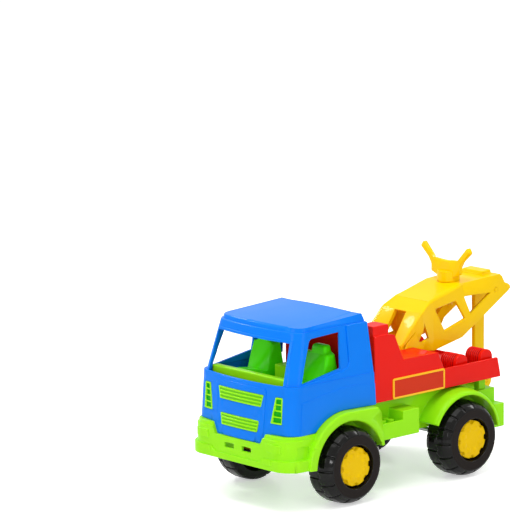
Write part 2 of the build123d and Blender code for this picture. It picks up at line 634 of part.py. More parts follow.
with BuildPart() as cab_shell:
    cab_loft(LOWER_SECTIONS)
    cab_loft(UPPER_SECTIONS)
    cab_loft(ROOF_SECTIONS)
    add(skin(UPPER_SECTIONS, RIM_PROUD, CAB_WALL, polygon(front_plane(0), mirrored(SCREEN_FRAME))))
    add(skin(UPPER_SECTIONS, QUARTER_PROUD, CAB_WALL, polygon(side_plane(PAST_CAB), QUARTER)))
    add(skin(LOWER_SECTIONS, DOOR_PROUD, CAB_WALL, polygon(side_plane(PAST_CAB), DOOR_SKIN)))
    # Roof line: slopes up to the rear and is crowned across
    slope = Vector(ROOF_FRONT[0] - ROOF_REAR[0], 0, ROOF_FRONT[1] - ROOF_REAR[1])
    roof_back = Vector(FRONT_AXLE_X + ROOF_REAR[0], 0, ROOF_REAR[1]) - slope
    across_roof = Plane(origin=roof_back, x_dir=(0, 1, 0), z_dir=slope)
    roof_side = (PAST_CAB, -2 * ROOF_CROWN)
    above_roof = (PAST_CAB, PAST_CAB / 2)
    with BuildSketch(across_roof):
        with BuildLine():
            ThreePointArc((-PAST_CAB, -2 * ROOF_CROWN), (0, 0), roof_side)
            Polyline(roof_side, above_roof, (-PAST_CAB, PAST_CAB / 2), (-PAST_CAB, -2 * ROOF_CROWN))
        make_face()
    extrude(amount=3 * slope.length, mode=Mode.SUBTRACT)
    cab_loft(LOWER_SECTIONS, CAB_WALL, mode=Mode.SUBTRACT)
    cab_loft(stretched(UPPER_SECTIONS, CUT_PAST, CUT_PAST), CAB_WALL, mode=Mode.SUBTRACT)
    # Rear edge leans, and the foot follows the bumper and the mudguard
    side_prism(REAR_EDGE, -PAST_CAB, PAST_CAB, mode=Mode.SUBTRACT)
    with BuildSketch(side_plane(PAST_CAB)):
        with BuildLine():
            curve, foot = guard_arc(SEAT_GAP, BUMPER_TOP + SEAT_GAP)
            add(curve)
            Polyline(
                (GUARD_REAR[0], GUARD_REAR[1] + SEAT_GAP),
                (-PAST_CAB, GUARD_REAR[1] + SEAT_GAP),
                (-PAST_CAB, 0),
                (BUMPER_REACH + PAST_CAB, 0),
                (BUMPER_REACH + PAST_CAB, BUMPER_TOP + SEAT_GAP),
                foot,
            )
        make_face()
    extrude(amount=2 * PAST_CAB, mode=Mode.SUBTRACT)
    add(grille_panel.part)
    # Openings
    extrude(polygon(front_plane(0), mirrored(WINDSCREEN)), amount=PAST_CAB, mode=Mode.SUBTRACT)
    with BuildSketch(side_plane(PAST_CAB)) as window:
        with BuildLine():
            Polyline(*SIDE_WINDOW, close=True)
        make_face()
        fillet(window.vertices().sort_by(Axis.X)[2], WINDOW_FRONT_CORNER)
        corners = window.vertices().sort_by(Axis.X)
        fillet([corners[0], corners[1], corners[-1]], WINDOW_CORNER)
    extrude(amount=2 * PAST_CAB, mode=Mode.SUBTRACT)
    for name, *table in GRILLES:
        extrude(grille_outline(table, SEAT_GAP), amount=PAST_CAB, mode=Mode.SUBTRACT)
    for side in (1, -1):
        extrude(headlamp_outline(side, SEAT_GAP), amount=PAST_CAB, mode=Mode.SUBTRACT)
finish(cab_shell, "cab_shell")

# Grilles and lamps let into the cab's front, each a frame with bars that follows its bow
for name, *table in GRILLES:
    top_half, top, foot_half, foot = table
    face = PANEL_PROUD + INSERT_PROUD
    with BuildPart() as grille:
        add(skin(LOWER_SECTIONS, face, CAB_WALL, grille_outline(table)))
        for low, high in cells(foot + INSERT_FRAME, top - INSERT_FRAME, GRILLE_RIDGES):
            corners = [
                (slanted((foot_half, foot), (top_half, top), z) - INSERT_FRAME, z) for z in (high, low)
            ]
            cell = polygon(INSERT_PLANE, mirrored(corners))
            sunk = skin(LOWER_SECTIONS, face + CUT_PAST, INSERT_SINK - face, cell)
            add(sunk, mode=Mode.SUBTRACT)
    finish(grille, name)
(lamp_outer, lamp_foot), (lamp_outer, lamp_top), lamp_inner_top, lamp_inner_foot = HEADLAMP
for side_name, side in SIDES:
    with BuildPart() as headlamp:
        add(skin(LOWER_SECTIONS, INSERT_PROUD, CAB_WALL, headlamp_outline(side)))
        for low, high in cells(lamp_foot + INSERT_FRAME, lamp_top - INSERT_FRAME, LAMP_BARS):
            inner = [(slanted(lamp_inner_foot, lamp_inner_top, z) + INSERT_FRAME, z) for z in (low, high)]
            outer = [(lamp_outer - INSERT_FRAME, z) for z in (high, low)]
            cell = polygon(INSERT_PLANE, [(side * y, z) for y, z in inner + outer])
            sunk = skin(LOWER_SECTIONS, INSERT_PROUD + CUT_PAST, INSERT_SINK - INSERT_PROUD, cell)
            add(sunk, mode=Mode.SUBTRACT)
    finish(headlamp, f"headlamp_{side_name}")

# Interior blocks, columns: rear, front, half width, top
INTERIOR_BLOCKS = (
    (-33.0, 50.0, 51.0, INTERIOR_FLOOR + INTERIOR_THICK),
    (44.0, 50.0, 47.0, 106.3),
    (-22.0, 12.0, 13.0, 105.5),
)
CENTRE_REST = ((0.0, 100.0), (-3.0, 118.0), (-8.0, 118.0), (-8.0, 100.0))
CENTRE_REST_HALF = 12.0
with BuildPart() as cab_interior:
    for rear, front, half, top in INTERIOR_BLOCKS:
        block((rear, front), (-half, half), (INTERIOR_FLOOR, top))
    side_prism(CENTRE_REST, -CENTRE_REST_HALF, CENTRE_REST_HALF)
finish(cab_interior, "cab_interior")

SEAT_FOOT = INTERIOR_FLOOR + INTERIOR_THICK + SEAT_GAP
# Seat seen from the side
SEAT_SIDE = (
    (26.0, SEAT_FOOT),
    (26.0, 100.5),
    (13.5, 98.7),
    (5.7, 120.0),
    (4.5, 127.5),
    (-2.5, 127.5),
    (-6.0, 98.0),
    (-6.0, SEAT_FOOT),
)
# Seat seen from the front, from the middle out, (half width, height)
SEAT_FRONT = ((13.5, SEAT_FOOT), (13.0, 103.0), (11.5, 120.0), (7.4, 121.0), (7.4, 127.5))
for side_name, side in SIDES:
    with BuildPart() as seat:
        side_prism(SEAT_SIDE, side * SEAT_Y - SEAT_HALF, side * SEAT_Y + SEAT_HALF)
        outline = [(side * SEAT_Y + y, z) for y, z in mirrored(SEAT_FRONT)]
        extrude(polygon(front_plane(-CAB_BACK), outline), amount=2 * CAB_BACK, mode=Mode.INTERSECT)
    finish(seat, f"seat_{side_name}")


# Bed
BED_SIDE = (
    (-BED_FRONT, BED_BOTTOM),
    (-BED_FRONT, POST_TOP),
    (-53.0, POST_TOP),
    (-60.6, POST_TOP - 1.8),
    (-PEDESTAL_FRONT, PEDESTAL_TOP),
    (-PEDESTAL_REAR, PEDESTAL_TOP),
    (-RAIL_FRONT, BED_RAIL),
    (-180.5, BED_RAIL),
    (-BED_REAR, BED_BOTTOM + 1),
    (-BED_REAR, BED_BOTTOM),
)
# Hollow of each housing beside the slot, seen from the side
BED_HOLLOW = (
    (-BED_FRONT - BED_WALL, BED_BOTTOM - 1),
    (-BED_FRONT - BED_WALL, POST_TOP - BED_WALL),
    (-58.5, POST_TOP - 4.0),
    (-PEDESTAL_FRONT + 1.8, PEDESTAL_TOP - BED_WALL),
    (-PEDESTAL_REAR + 1.8, PEDESTAL_TOP - BED_WALL),
    (-RAIL_FRONT + 1.8, BED_FLOOR - BED_WALL),
    (-BED_REAR + BED_WALL, BED_FLOOR - BED_WALL),
    (-BED_REAR + BED_WALL, BED_BOTTOM - 1),
)
CARGO_WELL = (
    (-RAIL_FRONT - 3.2, BED_FLOOR),
    (-PEDESTAL_REAR, PEDESTAL_TOP + CUT_PAST),
    (-BED_REAR + BED_WALL, PEDESTAL_TOP + CUT_PAST),
    (-BED_REAR + BED_WALL, BED_FLOOR),
)
PIN_REACH = SLOT_HALF + BED_WALL
with BuildPart() as bed:
    side_prism(BED_SIDE, -BED_HALF, BED_HALF)
    # Cargo well, with the slot that runs forward from it
    side_prism(CARGO_WELL, -BED_HALF + BED_WALL, BED_HALF - BED_WALL, mode=Mode.SUBTRACT)
    slot_x = (-RAIL_FRONT - 2 * BED_WALL, -SLOT_FRONT)
    block(slot_x, (-SLOT_HALF, SLOT_HALF), (BED_FLOOR, POST_TOP + CUT_PAST), mode=Mode.SUBTRACT)
    for side in (1, -1):
        side_prism(BED_HOLLOW, side * PIN_REACH, side * (BED_HALF - BED_WALL), mode=Mode.SUBTRACT)
        # Raised block on each post
        post_y = [side * y for y in POST_BLOCK_WIDTHS]
        block((-POST_BLOCK_BACK, -BED_FRONT), post_y, (POST_TOP - CUT_PAST, POST_BLOCK_TOP))
        # Pockets that the cable drums stand in
        for back in DRUM_BACKS:
            pocket_x = (-back - DRUM_RADIUS - SEAT_GAP, -back + DRUM_RADIUS + SEAT_GAP)
            pocket_y = (side * (DRUM_INNER_Y - SEAT_GAP), side * (DRUM_OUTER_Y + SEAT_GAP))
            block(pocket_x, pocket_y, (BED_FLOOR - DRUM_POCKET, BED_FLOOR + CUT_PAST), mode=Mode.SUBTRACT)
    front_x = (-SLOT_FRONT + BED_WALL, -BED_FRONT - BED_WALL)
    front_z = (BED_BOTTOM - CUT_PAST, POST_TOP - 2 * BED_WALL)
    block(front_x, (-SLOT_HALF, SLOT_HALF), front_z, mode=Mode.SUBTRACT)
    # Holes for the boom's pin
    side_disc(BOOM_PIN, BOOM_PIN_RADIUS, -PIN_REACH - CUT_PAST, PIN_REACH + CUT_PAST, mode=Mode.SUBTRACT)
finish(bed, "bed")

# Ribbed cable drums that stand in the bed's floor
RING_PITCH = (DRUM_OUTER_Y - DRUM_CAP - DRUM_INNER_Y) / DRUM_RINGS
RING_SHARE = 0.6
for side_name, side in SIDES:
    with BuildPart() as drums:
        drum_y = (side * DRUM_INNER_Y, side * DRUM_OUTER_Y)
        for back in DRUM_BACKS:
            centre = (-back, DRUM_Z)
            side_disc(centre, DRUM_RADIUS - RING_DEPTH, *drum_y)
            side_disc(centre, DRUM_RADIUS, side * (DRUM_OUTER_Y - DRUM_CAP), side * DRUM_OUTER_Y)
            for ring in range(DRUM_RINGS):
                ring_y = DRUM_INNER_Y + ring * RING_PITCH
                side_disc(centre, DRUM_RADIUS, side * ring_y, side * (ring_y + RING_SHARE * RING_PITCH))
            block((-back - DRUM_RADIUS, -back + DRUM_RADIUS), drum_y, (BED_FLOOR - DRUM_POCKET, DRUM_Z))
    finish(drums, f"cable_drums_{side_name}")

plate_length = PLATE_BACKS[1] - PLATE_BACKS[0]
plate_height = PLATE_HEIGHTS[1] - PLATE_HEIGHTS[0]
for side_name, side in SIDES:
    with BuildPart() as sign_plate:
        face_y = side * (BED_HALF + PLATE_THICK) if side > 0 else -BED_HALF
        with BuildSketch(side_plane(face_y)):
            with Locations((-sum(PLATE_BACKS) / 2, sum(PLATE_HEIGHTS) / 2)):
                RectangleRounded(plate_length, plate_height, PLATE_CORNER)
        extrude(amount=PLATE_THICK)
    finish(sign_plate, f"sign_plate_{side_name}")


# Boom
BOOM_SIDE = (
    (-95.4, 104.0),
    (-96.3, 109.6),
    (-120.5, 134.0),
    (-133.0, 141.4),
    (-170.0, 151.0),
    (-217.6, 153.6),
    (-221.4, 150.4),
    (-224.3, 145.5),
    (-229.1, 143.6),
    (-BOOM_REACH, 140.4),
    (-229.1, 138.1),
    (-173.1, 105.5),
    (-139.0, 98.9),
    (-131.7, 100.2),
    (-119.0, 102.5),
    (-112.0, 99.0),
    (-112.0, 98.0),
    (-100.0, 98.0),
)
# Openings in each side of the boom
BOOM_OPENINGS = (
    ((-96.6, 106.6), (-101.6, 106.3), (-102.8, 110.3), (-112.0, 117.1), (-113.3, 119.6)),
    ((-124.4, 122.5), (-117.0, 110.2), (-122.7, 108.8), (-131.6, 110.9)),
    ((-140.5, 133.7), (-164.6, 137.4), (-175.7, 121.0), (-151.8, 114.1)),
    ((-175.1, 139.8), (-207.7, 139.5), (-182.8, 124.2)),
)
# Hollow between the boom's sides, below its top plate and behind its slanted front legs
BOOM_HOLLOW = (
    (-90.0, 90.0),
    (-90.0, 145.0),
    (-133.0, 145.0),
    (-133.0, 138.2),
    (-170.3, 147.9),
    (-217.0, 150.4),
    (-240.0, 150.4),
    (-240.0, 90.0),
)
# Front leg seen from the side, at the hood's outer edge and at the window; it ends inside the top plate
LEG_OUTER = (
    (-95.6, 104.0),
    (-96.5, 109.5),
    (-120.6, 133.8),
    (-133.0, 141.2),
    (-136.0, 142.0),
    (-136.0, 139.2),
    (-121.6, 131.0),
    (-101.0, 110.2),
    (-100.4, 104.0),
)
LEG_INNER = (
    (-100.4, 104.0),
    (-103.6, 110.0),
    (-119.4, 133.4),
    (-133.0, 141.2),
    (-136.0, 142.0),
    (-136.0, 139.2),
    (-122.0, 131.0),
    (-107.6, 110.6),
    (-105.0, 104.0),
)
# The part of the leg's outline that also bridges the window, as the hood
HOOD = LEG_INNER[2:7]
BLOCK_ON_BOOM = ((-203.0, 151.0), (-204.5, 156.4), (-215.0, 157.0), (-216.5, 151.0))
BLOCK_ON_BOOM_HALF = 12.0


def boom_plan(inset):
    """Plan of the boom, wide at the hood and narrower behind it, with its sides stepped inwards."""
    hood_y = HOOD_HALF - inset
    back_y = BOOM_HALF - inset
    side = ((0.0, hood_y), (-HOOD_BACK, hood_y), (-BOOM_NARROW, back_y), (-BOOM_REACH - CUT_PAST, back_y))
    return polygon(plan_plane(0), side + tuple((x, -y) for x, y in reversed(side)))


with BuildPart() as boom_inside:
    side_prism(BOOM_HOLLOW, -HOOD_HALF, HOOD_HALF)
    extrude(boom_plan(BOOM_PLATE), amount=4 * PAST_CAB, mode=Mode.INTERSECT)

# Hood over the window, and a slanted leg on each side of it
with BuildPart() as boom_front:
    side_prism(HOOD, -BOOM_WINDOW_HALF - CUT_PAST, BOOM_WINDOW_HALF + CUT_PAST)
    for side in (1, -1):
        sections = [
            polygon(side_plane(side * y), leg)
            for y, leg in ((BOOM_WINDOW_HALF, LEG_INNER), (HOOD_HALF - BOOM_PLATE / 2, LEG_OUTER))
        ]
        loft(sections, ruled=True)
    extrude(boom_plan(0), amount=4 * PAST_CAB, mode=Mode.INTERSECT)

with BuildPart() as boom:
    side_prism(BOOM_SIDE, -HOOD_HALF, HOOD_HALF)
    side_disc(BOOM_PIN, BOOM_LUG_RADIUS, -HOOD_HALF, HOOD_HALF)
    extrude(boom_plan(0), amount=4 * PAST_CAB, mode=Mode.INTERSECT)
    add(boom_inside.part, mode=Mode.SUBTRACT)
    for opening in BOOM_OPENINGS:
        side_prism(opening, -HOOD_HALF - CUT_PAST, HOOD_HALF + CUT_PAST, mode=Mode.SUBTRACT)
    add(boom_front.part)
    side_disc(BOOM_PIN, BOOM_PIN_RADIUS + RUNNING_FIT, -PIN_REACH, PIN_REACH, mode=Mode.SUBTRACT)
    side_disc(HOOK_PIN, HOOK_PIN_RADIUS, -PIN_REACH, PIN_REACH, mode=Mode.SUBTRACT)
    side_prism(BLOCK_ON_BOOM, -BLOCK_ON_BOOM_HALF, BLOCK_ON_BOOM_HALF)
    # Seat and bore for the wing handle
    with BuildSketch(plan_plane(HANDLE_SEAT)):
        with Locations((HANDLE_X, 0)):
            Circle(BOSS_RADIUS + SEAT_GAP)
    extrude(amount=PAST_CAB, mode=Mode.SUBTRACT)
    with BuildSketch(plan_plane(BOOM_PIN[1])):
        with Locations((HANDLE_X, 0)):
            Circle(SHANK_RADIUS)
    extrude(amount=PAST_CAB, mode=Mode.SUBTRACT)
finish(boom, "boom")

with BuildPart() as boom_pin:
    side_disc(BOOM_PIN, BOOM_PIN_RADIUS, -PIN_REACH, PIN_REACH)
finish(boom_pin, "boom_pin")

with BuildPart() as hook_pin:
    side_disc(HOOK_PIN, HOOK_PIN_RADIUS, -BOOM_HALF, BOOM_HALF)
finish(hook_pin, "hook_pin")

# Wings of the handle seen from the front, from the foot up
HANDLE_WING = (
    (BOSS_RADIUS - 1.0, 155.0),
    (17.2, 158.5),
    (17.2, 164.5),
    (20.0, 169.0),
    (30.0, 178.0),
    (26.6, 182.7),
    (14.4, 169.8),
    (3.0, 169.0),
)
with BuildPart() as wing_handle:
    extrude(polygon(front_plane(-HANDLE_BACK), mirrored(HANDLE_WING)), amount=HANDLE_BACK - HANDLE_FRONT)
    with BuildSketch(plan_plane(HANDLE_SEAT)):
        with Locations((HANDLE_X, 0)):
            Circle(BOSS_RADIUS)
    extrude(amount=HANDLE_NECK - HANDLE_SEAT)
    with BuildSketch(plan_plane(SHANK_END)):
        with Locations((HANDLE_X, 0)):
            Circle(SHANK_RADIUS)
    extrude(amount=HANDLE_SEAT - SHANK_END)
    lever = (
        (HANDLE_X - SHANK_RADIUS, SHANK_END + 2 * LEVER_HALF),
        (HANDLE_X + SHANK_RADIUS, SHANK_END + 2 * LEVER_HALF),
        (LEVER_FOOT[0] + LEVER_HALF, LEVER_FOOT[1] + LEVER_HALF),
        (LEVER_FOOT[0] - LEVER_HALF, LEVER_FOOT[1] - LEVER_HALF),
    )
    side_prism(lever, -LEVER_THICK / 2, LEVER_THICK / 2)
finish(wing_handle, "wing_handle")

# Cut that opens the hook's throat
THROAT_SHIFT = 1.5
HOOK_MOUTH = (
    (-HOOK_ARM_BACK, HOOK_CENTRE[1]),
    (-HOOK_ARM_BACK, HOOK_CENTRE[1] + 20.4),
    (-240.0, HOOK_CENTRE[1] + 20.4),
    (-240.0, HOOK_CENTRE[1] + HOOK_THROAT),
    (-222.0, HOOK_CENTRE[1]),
)
with BuildPart() as hook_arm:
    arm_y = (-HOOK_ARM_THICK / 2, HOOK_ARM_THICK / 2)
    side_disc(HOOK_EYE, HOOK_EYE_RADIUS, *arm_y)
    block((-HOOK_ARM_BACK, -HOOK_ARM_FRONT), arm_y, (HOOK_CENTRE[1], HOOK_PIN[1] - HOOK_PIN_RADIUS))
    side_disc(HOOK_CENTRE, HOOK_RADIUS, *arm_y)
    throat = (HOOK_CENTRE[0] - THROAT_SHIFT, HOOK_CENTRE[1])
    side_disc(throat, HOOK_THROAT, -HOOK_ARM_THICK, HOOK_ARM_THICK, mode=Mode.SUBTRACT)
    side_prism(HOOK_MOUTH, -HOOK_ARM_THICK, HOOK_ARM_THICK, mode=Mode.SUBTRACT)
    side_disc(HOOK_PIN, HOOK_PIN_RADIUS + RUNNING_FIT, -HOOK_ARM_THICK, HOOK_ARM_THICK, mode=Mode.SUBTRACT)
finish(hook_arm, "hook_arm")
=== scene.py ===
"""Dresses the toy tow truck: rounds the moulded edges of its solids, adds tyres, hubs, drums, signs,
grilles and headlamps, and lights it."""

import json
import math

import bmesh
import bpy
import numpy as np
from mathutils import Matrix, Vector
from mathutils.bvhtree import BVHTree


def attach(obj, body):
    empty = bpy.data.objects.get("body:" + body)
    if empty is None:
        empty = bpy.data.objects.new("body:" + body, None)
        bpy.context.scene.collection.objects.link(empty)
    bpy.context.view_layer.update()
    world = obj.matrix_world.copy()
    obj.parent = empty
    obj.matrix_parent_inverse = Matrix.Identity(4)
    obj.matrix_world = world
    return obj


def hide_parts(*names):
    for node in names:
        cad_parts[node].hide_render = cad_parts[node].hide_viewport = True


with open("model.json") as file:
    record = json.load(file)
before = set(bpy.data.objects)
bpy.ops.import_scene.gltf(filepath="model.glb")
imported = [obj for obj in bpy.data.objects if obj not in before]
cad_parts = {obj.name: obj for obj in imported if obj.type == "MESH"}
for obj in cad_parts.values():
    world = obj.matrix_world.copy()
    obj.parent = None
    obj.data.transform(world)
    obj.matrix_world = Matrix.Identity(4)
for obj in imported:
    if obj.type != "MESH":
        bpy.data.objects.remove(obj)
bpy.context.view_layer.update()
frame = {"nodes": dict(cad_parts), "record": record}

MM = 0.001
# The truck's own places are given in mm, x ahead of the front axle, as in the part's source
FRONT_AXLE_X = 82.55
WHEELBASE = 133.2
TYRE_RADIUS = 31.6
SIDES = (("left", 1), ("right", -1))
NODE_SLOT = {row["node"]: row["material_slot"] for row in frame["record"]["subparts"]}
NODE_BODY = {node: body for body, nodes in frame["record"]["behaviour"]["bodies"].items() for node in nodes}


# Finishes


def tint(red, green, blue):
    """Linear colour of an sRGB colour given from 0 to 255."""
    channels = [c / 255 for c in (red, green, blue)]
    return tuple(c / 12.92 if c < 0.04 else ((c + 0.055) / 1.055) ** 2.4 for c in channels) + (1,)


def add_node(tree, kind, **values):
    """Shader node of a kind with its constant inputs set by name."""
    node = tree.nodes.new(kind)
    for name, value in values.items():
        node.inputs[name.replace("_", " ")].default_value = value
    return node


def plastic(name, light, dark, roughness, grain=0.05, specular=0.04, coat=0.15):
    """Moulded plastic: two near tones drift over the piece, with a fine grain and a gloss that varies slowly.
    Little of the shine is in the body and the rest in a thin coat, so that the colour stays full."""
    material = bpy.data.materials.new(name)
    material.use_nodes = True
    tree = material.node_tree
    shader = tree.nodes["Principled BSDF"]
    place = tree.nodes.new("ShaderNodeTexCoord")
    drift = add_node(tree, "ShaderNodeTexNoise", Scale=22.0, Detail=3.0)
    tones = tree.nodes.new("ShaderNodeMix")
    tones.data_type = "RGBA"
    tones.inputs["A"].default_value = light
    tones.inputs["B"].default_value = dark
    gloss = add_node(tree, "ShaderNodeMapRange", To_Min=roughness * 0.85, To_Max=roughness * 1.2)
    texture = add_node(tree, "ShaderNodeTexNoise", Scale=1100.0, Detail=2.0)
    bump = add_node(tree, "ShaderNodeBump", Strength=grain, Distance=0.0002)
    for source, target in (
        (place.outputs["Object"], drift.inputs["Vector"]),
        (place.outputs["Object"], texture.inputs["Vector"]),
        (drift.outputs["Fac"], tones.inputs["Factor"]),
        (drift.outputs["Fac"], gloss.inputs["Value"]),
        (texture.outputs["Fac"], bump.inputs["Height"]),
        (tones.outputs["Result"], shader.inputs["Base Color"]),
        (gloss.outputs["Result"], shader.inputs["Roughness"]),
        (bump.outputs["Normal"], shader.inputs["Normal"]),
    ):
        tree.links.new(source, target)
    shader.inputs["Specular IOR Level"].default_value = specular
    shader.inputs["Coat Weight"].default_value = coat
    shader.inputs["Coat Roughness"].default_value = 0.06
    return material


BLUE = plastic("cab blue plastic", tint(0, 126, 240), tint(0, 117, 232), 0.32)
LIME = plastic("chassis lime plastic", tint(158, 236, 24), tint(146, 230, 14), 0.34)
# The seats take a brighter, greener copy of the lime: painted light, standing in for the green-tinted light
# inside the cab
SEAT_PAINTED_LIGHT_LIME = plastic("seat lime with painted light", tint(98, 250, 8), tint(64, 236, 4), 0.32)
# Darker lime for the sunk floors of the grille's grooves: painted shade
PAINTED_SHADE_GRILLE_LIME = plastic("grille groove lime with painted shade", tint(124, 208, 22), tint(112, 200, 14), 0.3)
# Much darker, greener lime for the floors of the headlamp cells: painted shade
PAINTED_SHADE_CELL_LIME = plastic("headlamp cell lime with painted shade", tint(16, 176, 14), tint(8, 164, 8), 0.4)
# Darker red for the faces deep in the drums' grooves: painted shade
PAINTED_SHADE_GROOVE_RED = plastic("drum groove red with painted shade", tint(176, 8, 4), tint(166, 6, 2), 0.4)
RED = plastic("bed red plastic", tint(236, 24, 10), tint(228, 18, 8), 0.38, grain=0.12)
YELLOW = plastic("boom yellow plastic", tint(248, 206, 0), tint(246, 200, 0), 0.34)
HUB_YELLOW = plastic("hub yellow plastic", tint(240, 198, 0), tint(232, 188, 0), 0.42, grain=0.1, coat=0.08)
TREAD = plastic(
    "tread gloss black plastic", tint(12, 12, 11), tint(16, 15, 14), 0.2, specular=0.05, coat=0.25
)
SIDEWALL = plastic("sidewall matte black plastic", tint(36, 32, 31), tint(42, 38, 36), 0.62, coat=0.0)
STEEL = plastic("axle steel", tint(170, 170, 172), tint(150, 150, 152), 0.3, coat=0.0)
STEEL.node_tree.nodes["Principled BSDF"].inputs["Metallic"].default_value = 1.0
SIGN = plastic("sign red label", tint(212, 52, 14), tint(204, 46, 12), 0.3)
SIGN_BORDER = plastic("sign yellow border", tint(255, 194, 44), tint(252, 188, 36), 0.3)

SLOT_FINISH = {
    "blue_plastic": BLUE,
    "lime_plastic": LIME,
    "red_plastic": RED,
    "yellow_plastic": YELLOW,
    "hub_yellow": HUB_YELLOW,
    "black_plastic": TREAD,
    "axle_steel": STEEL,
    "sign_face": SIGN,
}
# The seats get the copy of the lime with painted light in place of their slot's finish
NODE_PAINTED_LIGHT = {"seat_left": SEAT_PAINTED_LIGHT_LIME, "seat_right": SEAT_PAINTED_LIGHT_LIME}


# Rounded copies of the solids

# Faces that meet at less than FLAT are one panel, and edges sharper than SHARP are rounded
FLAT = math.radians(0.6)
SHARP = math.radians(12.5)
# Points closer than this, and edges shorter than this, in mm, are merged
MERGE_GAP = 0.03
LEAST_EDGE = 0.02
# Corners too acute or too flat for the sum of offsets to say anything
LEAST_SINE = 0.2
# Roundings take at most this share of the run of surface between them
ROOM_SHARE = 0.9
SETTLE_ROUNDS = 40
# Rounds in which edges are left sharp about a faulty spot, and how far in mm each round reaches further
SPOT_ROUNDS = 12
SPOT_REACH = 0.2
# A rounded triangle is turned over where it faces away from the nearest face by more than this share
TURNED = 0.15
# A rounded triangle is off the solid beyond this share of the widest rounding plus this gap in mm
OFF_SHARE = 0.36
OFF_GAP = 0.1
# Edges within this many of their own widths of a faulty spot are left sharp
SPOT_SHARE = 1.3
# Share of the widest rounding below which an edge counts as left sharp
LEAST_WEIGHT = 0.02
# Inner corners are rounded less than outer ones
INNER_SHARE = 0.6
# Rounding of each moulded piece, columns: node, radius in mm, segments
ROUNDINGS = (
    ("cab_shell", 0.8, 3),
    ("chassis", 0.8, 3),
    ("bed", 0.7, 3),
    ("boom", 1.0, 3),
    ("wing_handle", 1.6, 4),
    ("hook_arm", 1.3, 4),
    ("seat_left", 2.5, 4),
    ("seat_right", 2.5, 4),
    ("cab_interior", 1.2, 3),
)
# Edges rounded more, or left sharp with radius 0; columns: node, x from and to, distance from the middle from
# and to, z from and to, radius
SOFT_EDGES = (
    ("cab_shell", (-40, 60), (0, 60), (145.5, 160), 2.4),
    ("chassis", (-45, 60), (62, 66), (44, 90), 1.8),
    ("chassis", (-185, -80), (62, 66), (40, 90), 1.6),
    ("boom", (-217, -121), (16, 25), (139.5, 156), 3.6),
    ("boom", (-134, -90), (18, 25), (108, 142), 2.4),
    ("boom", (-140, -90), (4, 10), (103, 142), 1.4),
    ("cab_shell", (40, 62), (46, 60), (101.6, 104.2), 0.0),
    ("cab_shell", (55, 58.3), (36, 38.5), (80, 86), 0.0),
)


def corner_rooms(shell):
    """Edge numbers before, along and after each run of each face, its length and the angles at its ends."""
    rows = []
    for face in shell.faces:
        for loop in face.loops:
            ahead = loop.link_loop_next
            turns = [c.calc_angle() if c.is_convex else 2 * math.pi - c.calc_angle() for c in (loop, ahead)]
            beside = (loop.link_loop_prev.edge.index, loop.edge.index, ahead.edge.index)
            rows.append((*beside, loop.edge.calc_length(), *turns))
    return np.array(rows)


def facing_rooms(shell, reach):
    """Pairs of edges of one face that don't touch and lie within reach, with their least distance."""
    rows = []
    for face in shell.faces:
        loops = list(face.loops)
        count = len(loops)
        if count < 4:
            continue
        start = np.array([loop.vert.co for loop in loops])
        run = np.roll(start, -1, axis=0) - start
        points = start[:, None] + np.linspace(0, 1, 5)[:, None] * run[:, None]
        along = np.einsum("ipjd,jd->ipj", points[:, :, None] - start, run)
        along = along / np.maximum((run * run).sum(1), 1e-14)
        near = start + np.clip(along, 0, 1)[..., None] * run
        gap = np.linalg.norm(points[:, :, None] - near, axis=3).min(axis=1)
        first, second = np.nonzero(gap < reach)
        step = (second - first) % count
        apart = (step > 1) & (step < count - 1)
        numbers = np.array([loop.edge.index for loop in loops])
        for i, j in zip(first[apart], second[apart]):
            rows.append((numbers[i], numbers[j], gap[i, j]))
    return np.array(rows).reshape(-1, 3)


def fit_widths(shell, width):
    """Bevel widths made smaller, where they are too wide, until they fit the length there is: along each run
    of each face the offsets of its two neighbours, (a + b cos t) / sin t at each end, and between facing
    edges a + b."""
    before, along, after, length, turn_a, turn_b = corner_rooms(shell).T
    before, along, after = (column.astype(int) for column in (before, along, after))
    facing = facing_rooms(shell, 2 * width.max())
    first, second, gap = facing[:, 0].astype(int), facing[:, 1].astype(int), facing[:, 2]

    def taken(other, turn):
        slant = np.where(np.abs(np.sin(turn)) < LEAST_SINE, np.inf, np.sin(turn))
        return (width[other] + width[along] * np.cos(turn)) / slant

    for _ in range(SETTLE_ROUNDS):
        used = taken(before, turn_a) + taken(after, turn_b)
        share = np.clip(ROOM_SHARE * length / np.maximum(used, 1e-9), 0, 1)
        scale = np.ones_like(width)
        for column in (before, along, after):
            np.minimum.at(scale, column, share)
        share = np.clip(ROOM_SHARE * gap / np.maximum(width[first] + width[second], 1e-9), 0, 1)
        np.minimum.at(scale, first, share)
        np.minimum.at(scale, second, share)
        if scale.min() > 0.99:
            break
        width = width * scale
    return width


def wanted_radius(node, middle, radius):
    """Radius in mm asked for at an edge's middle, from the table of softer edges or else the node's own."""
    x, y, z = middle.x / MM - FRONT_AXLE_X, abs(middle.y) / MM, middle.z / MM
    for soft_node, x_span, y_span, z_span, soft in SOFT_EDGES:
        spans = ((x, x_span), (y, y_span), (z, z_span))
        if soft_node == node and all(low <= place <= high for place, (low, high) in spans):
            return soft
    return radius


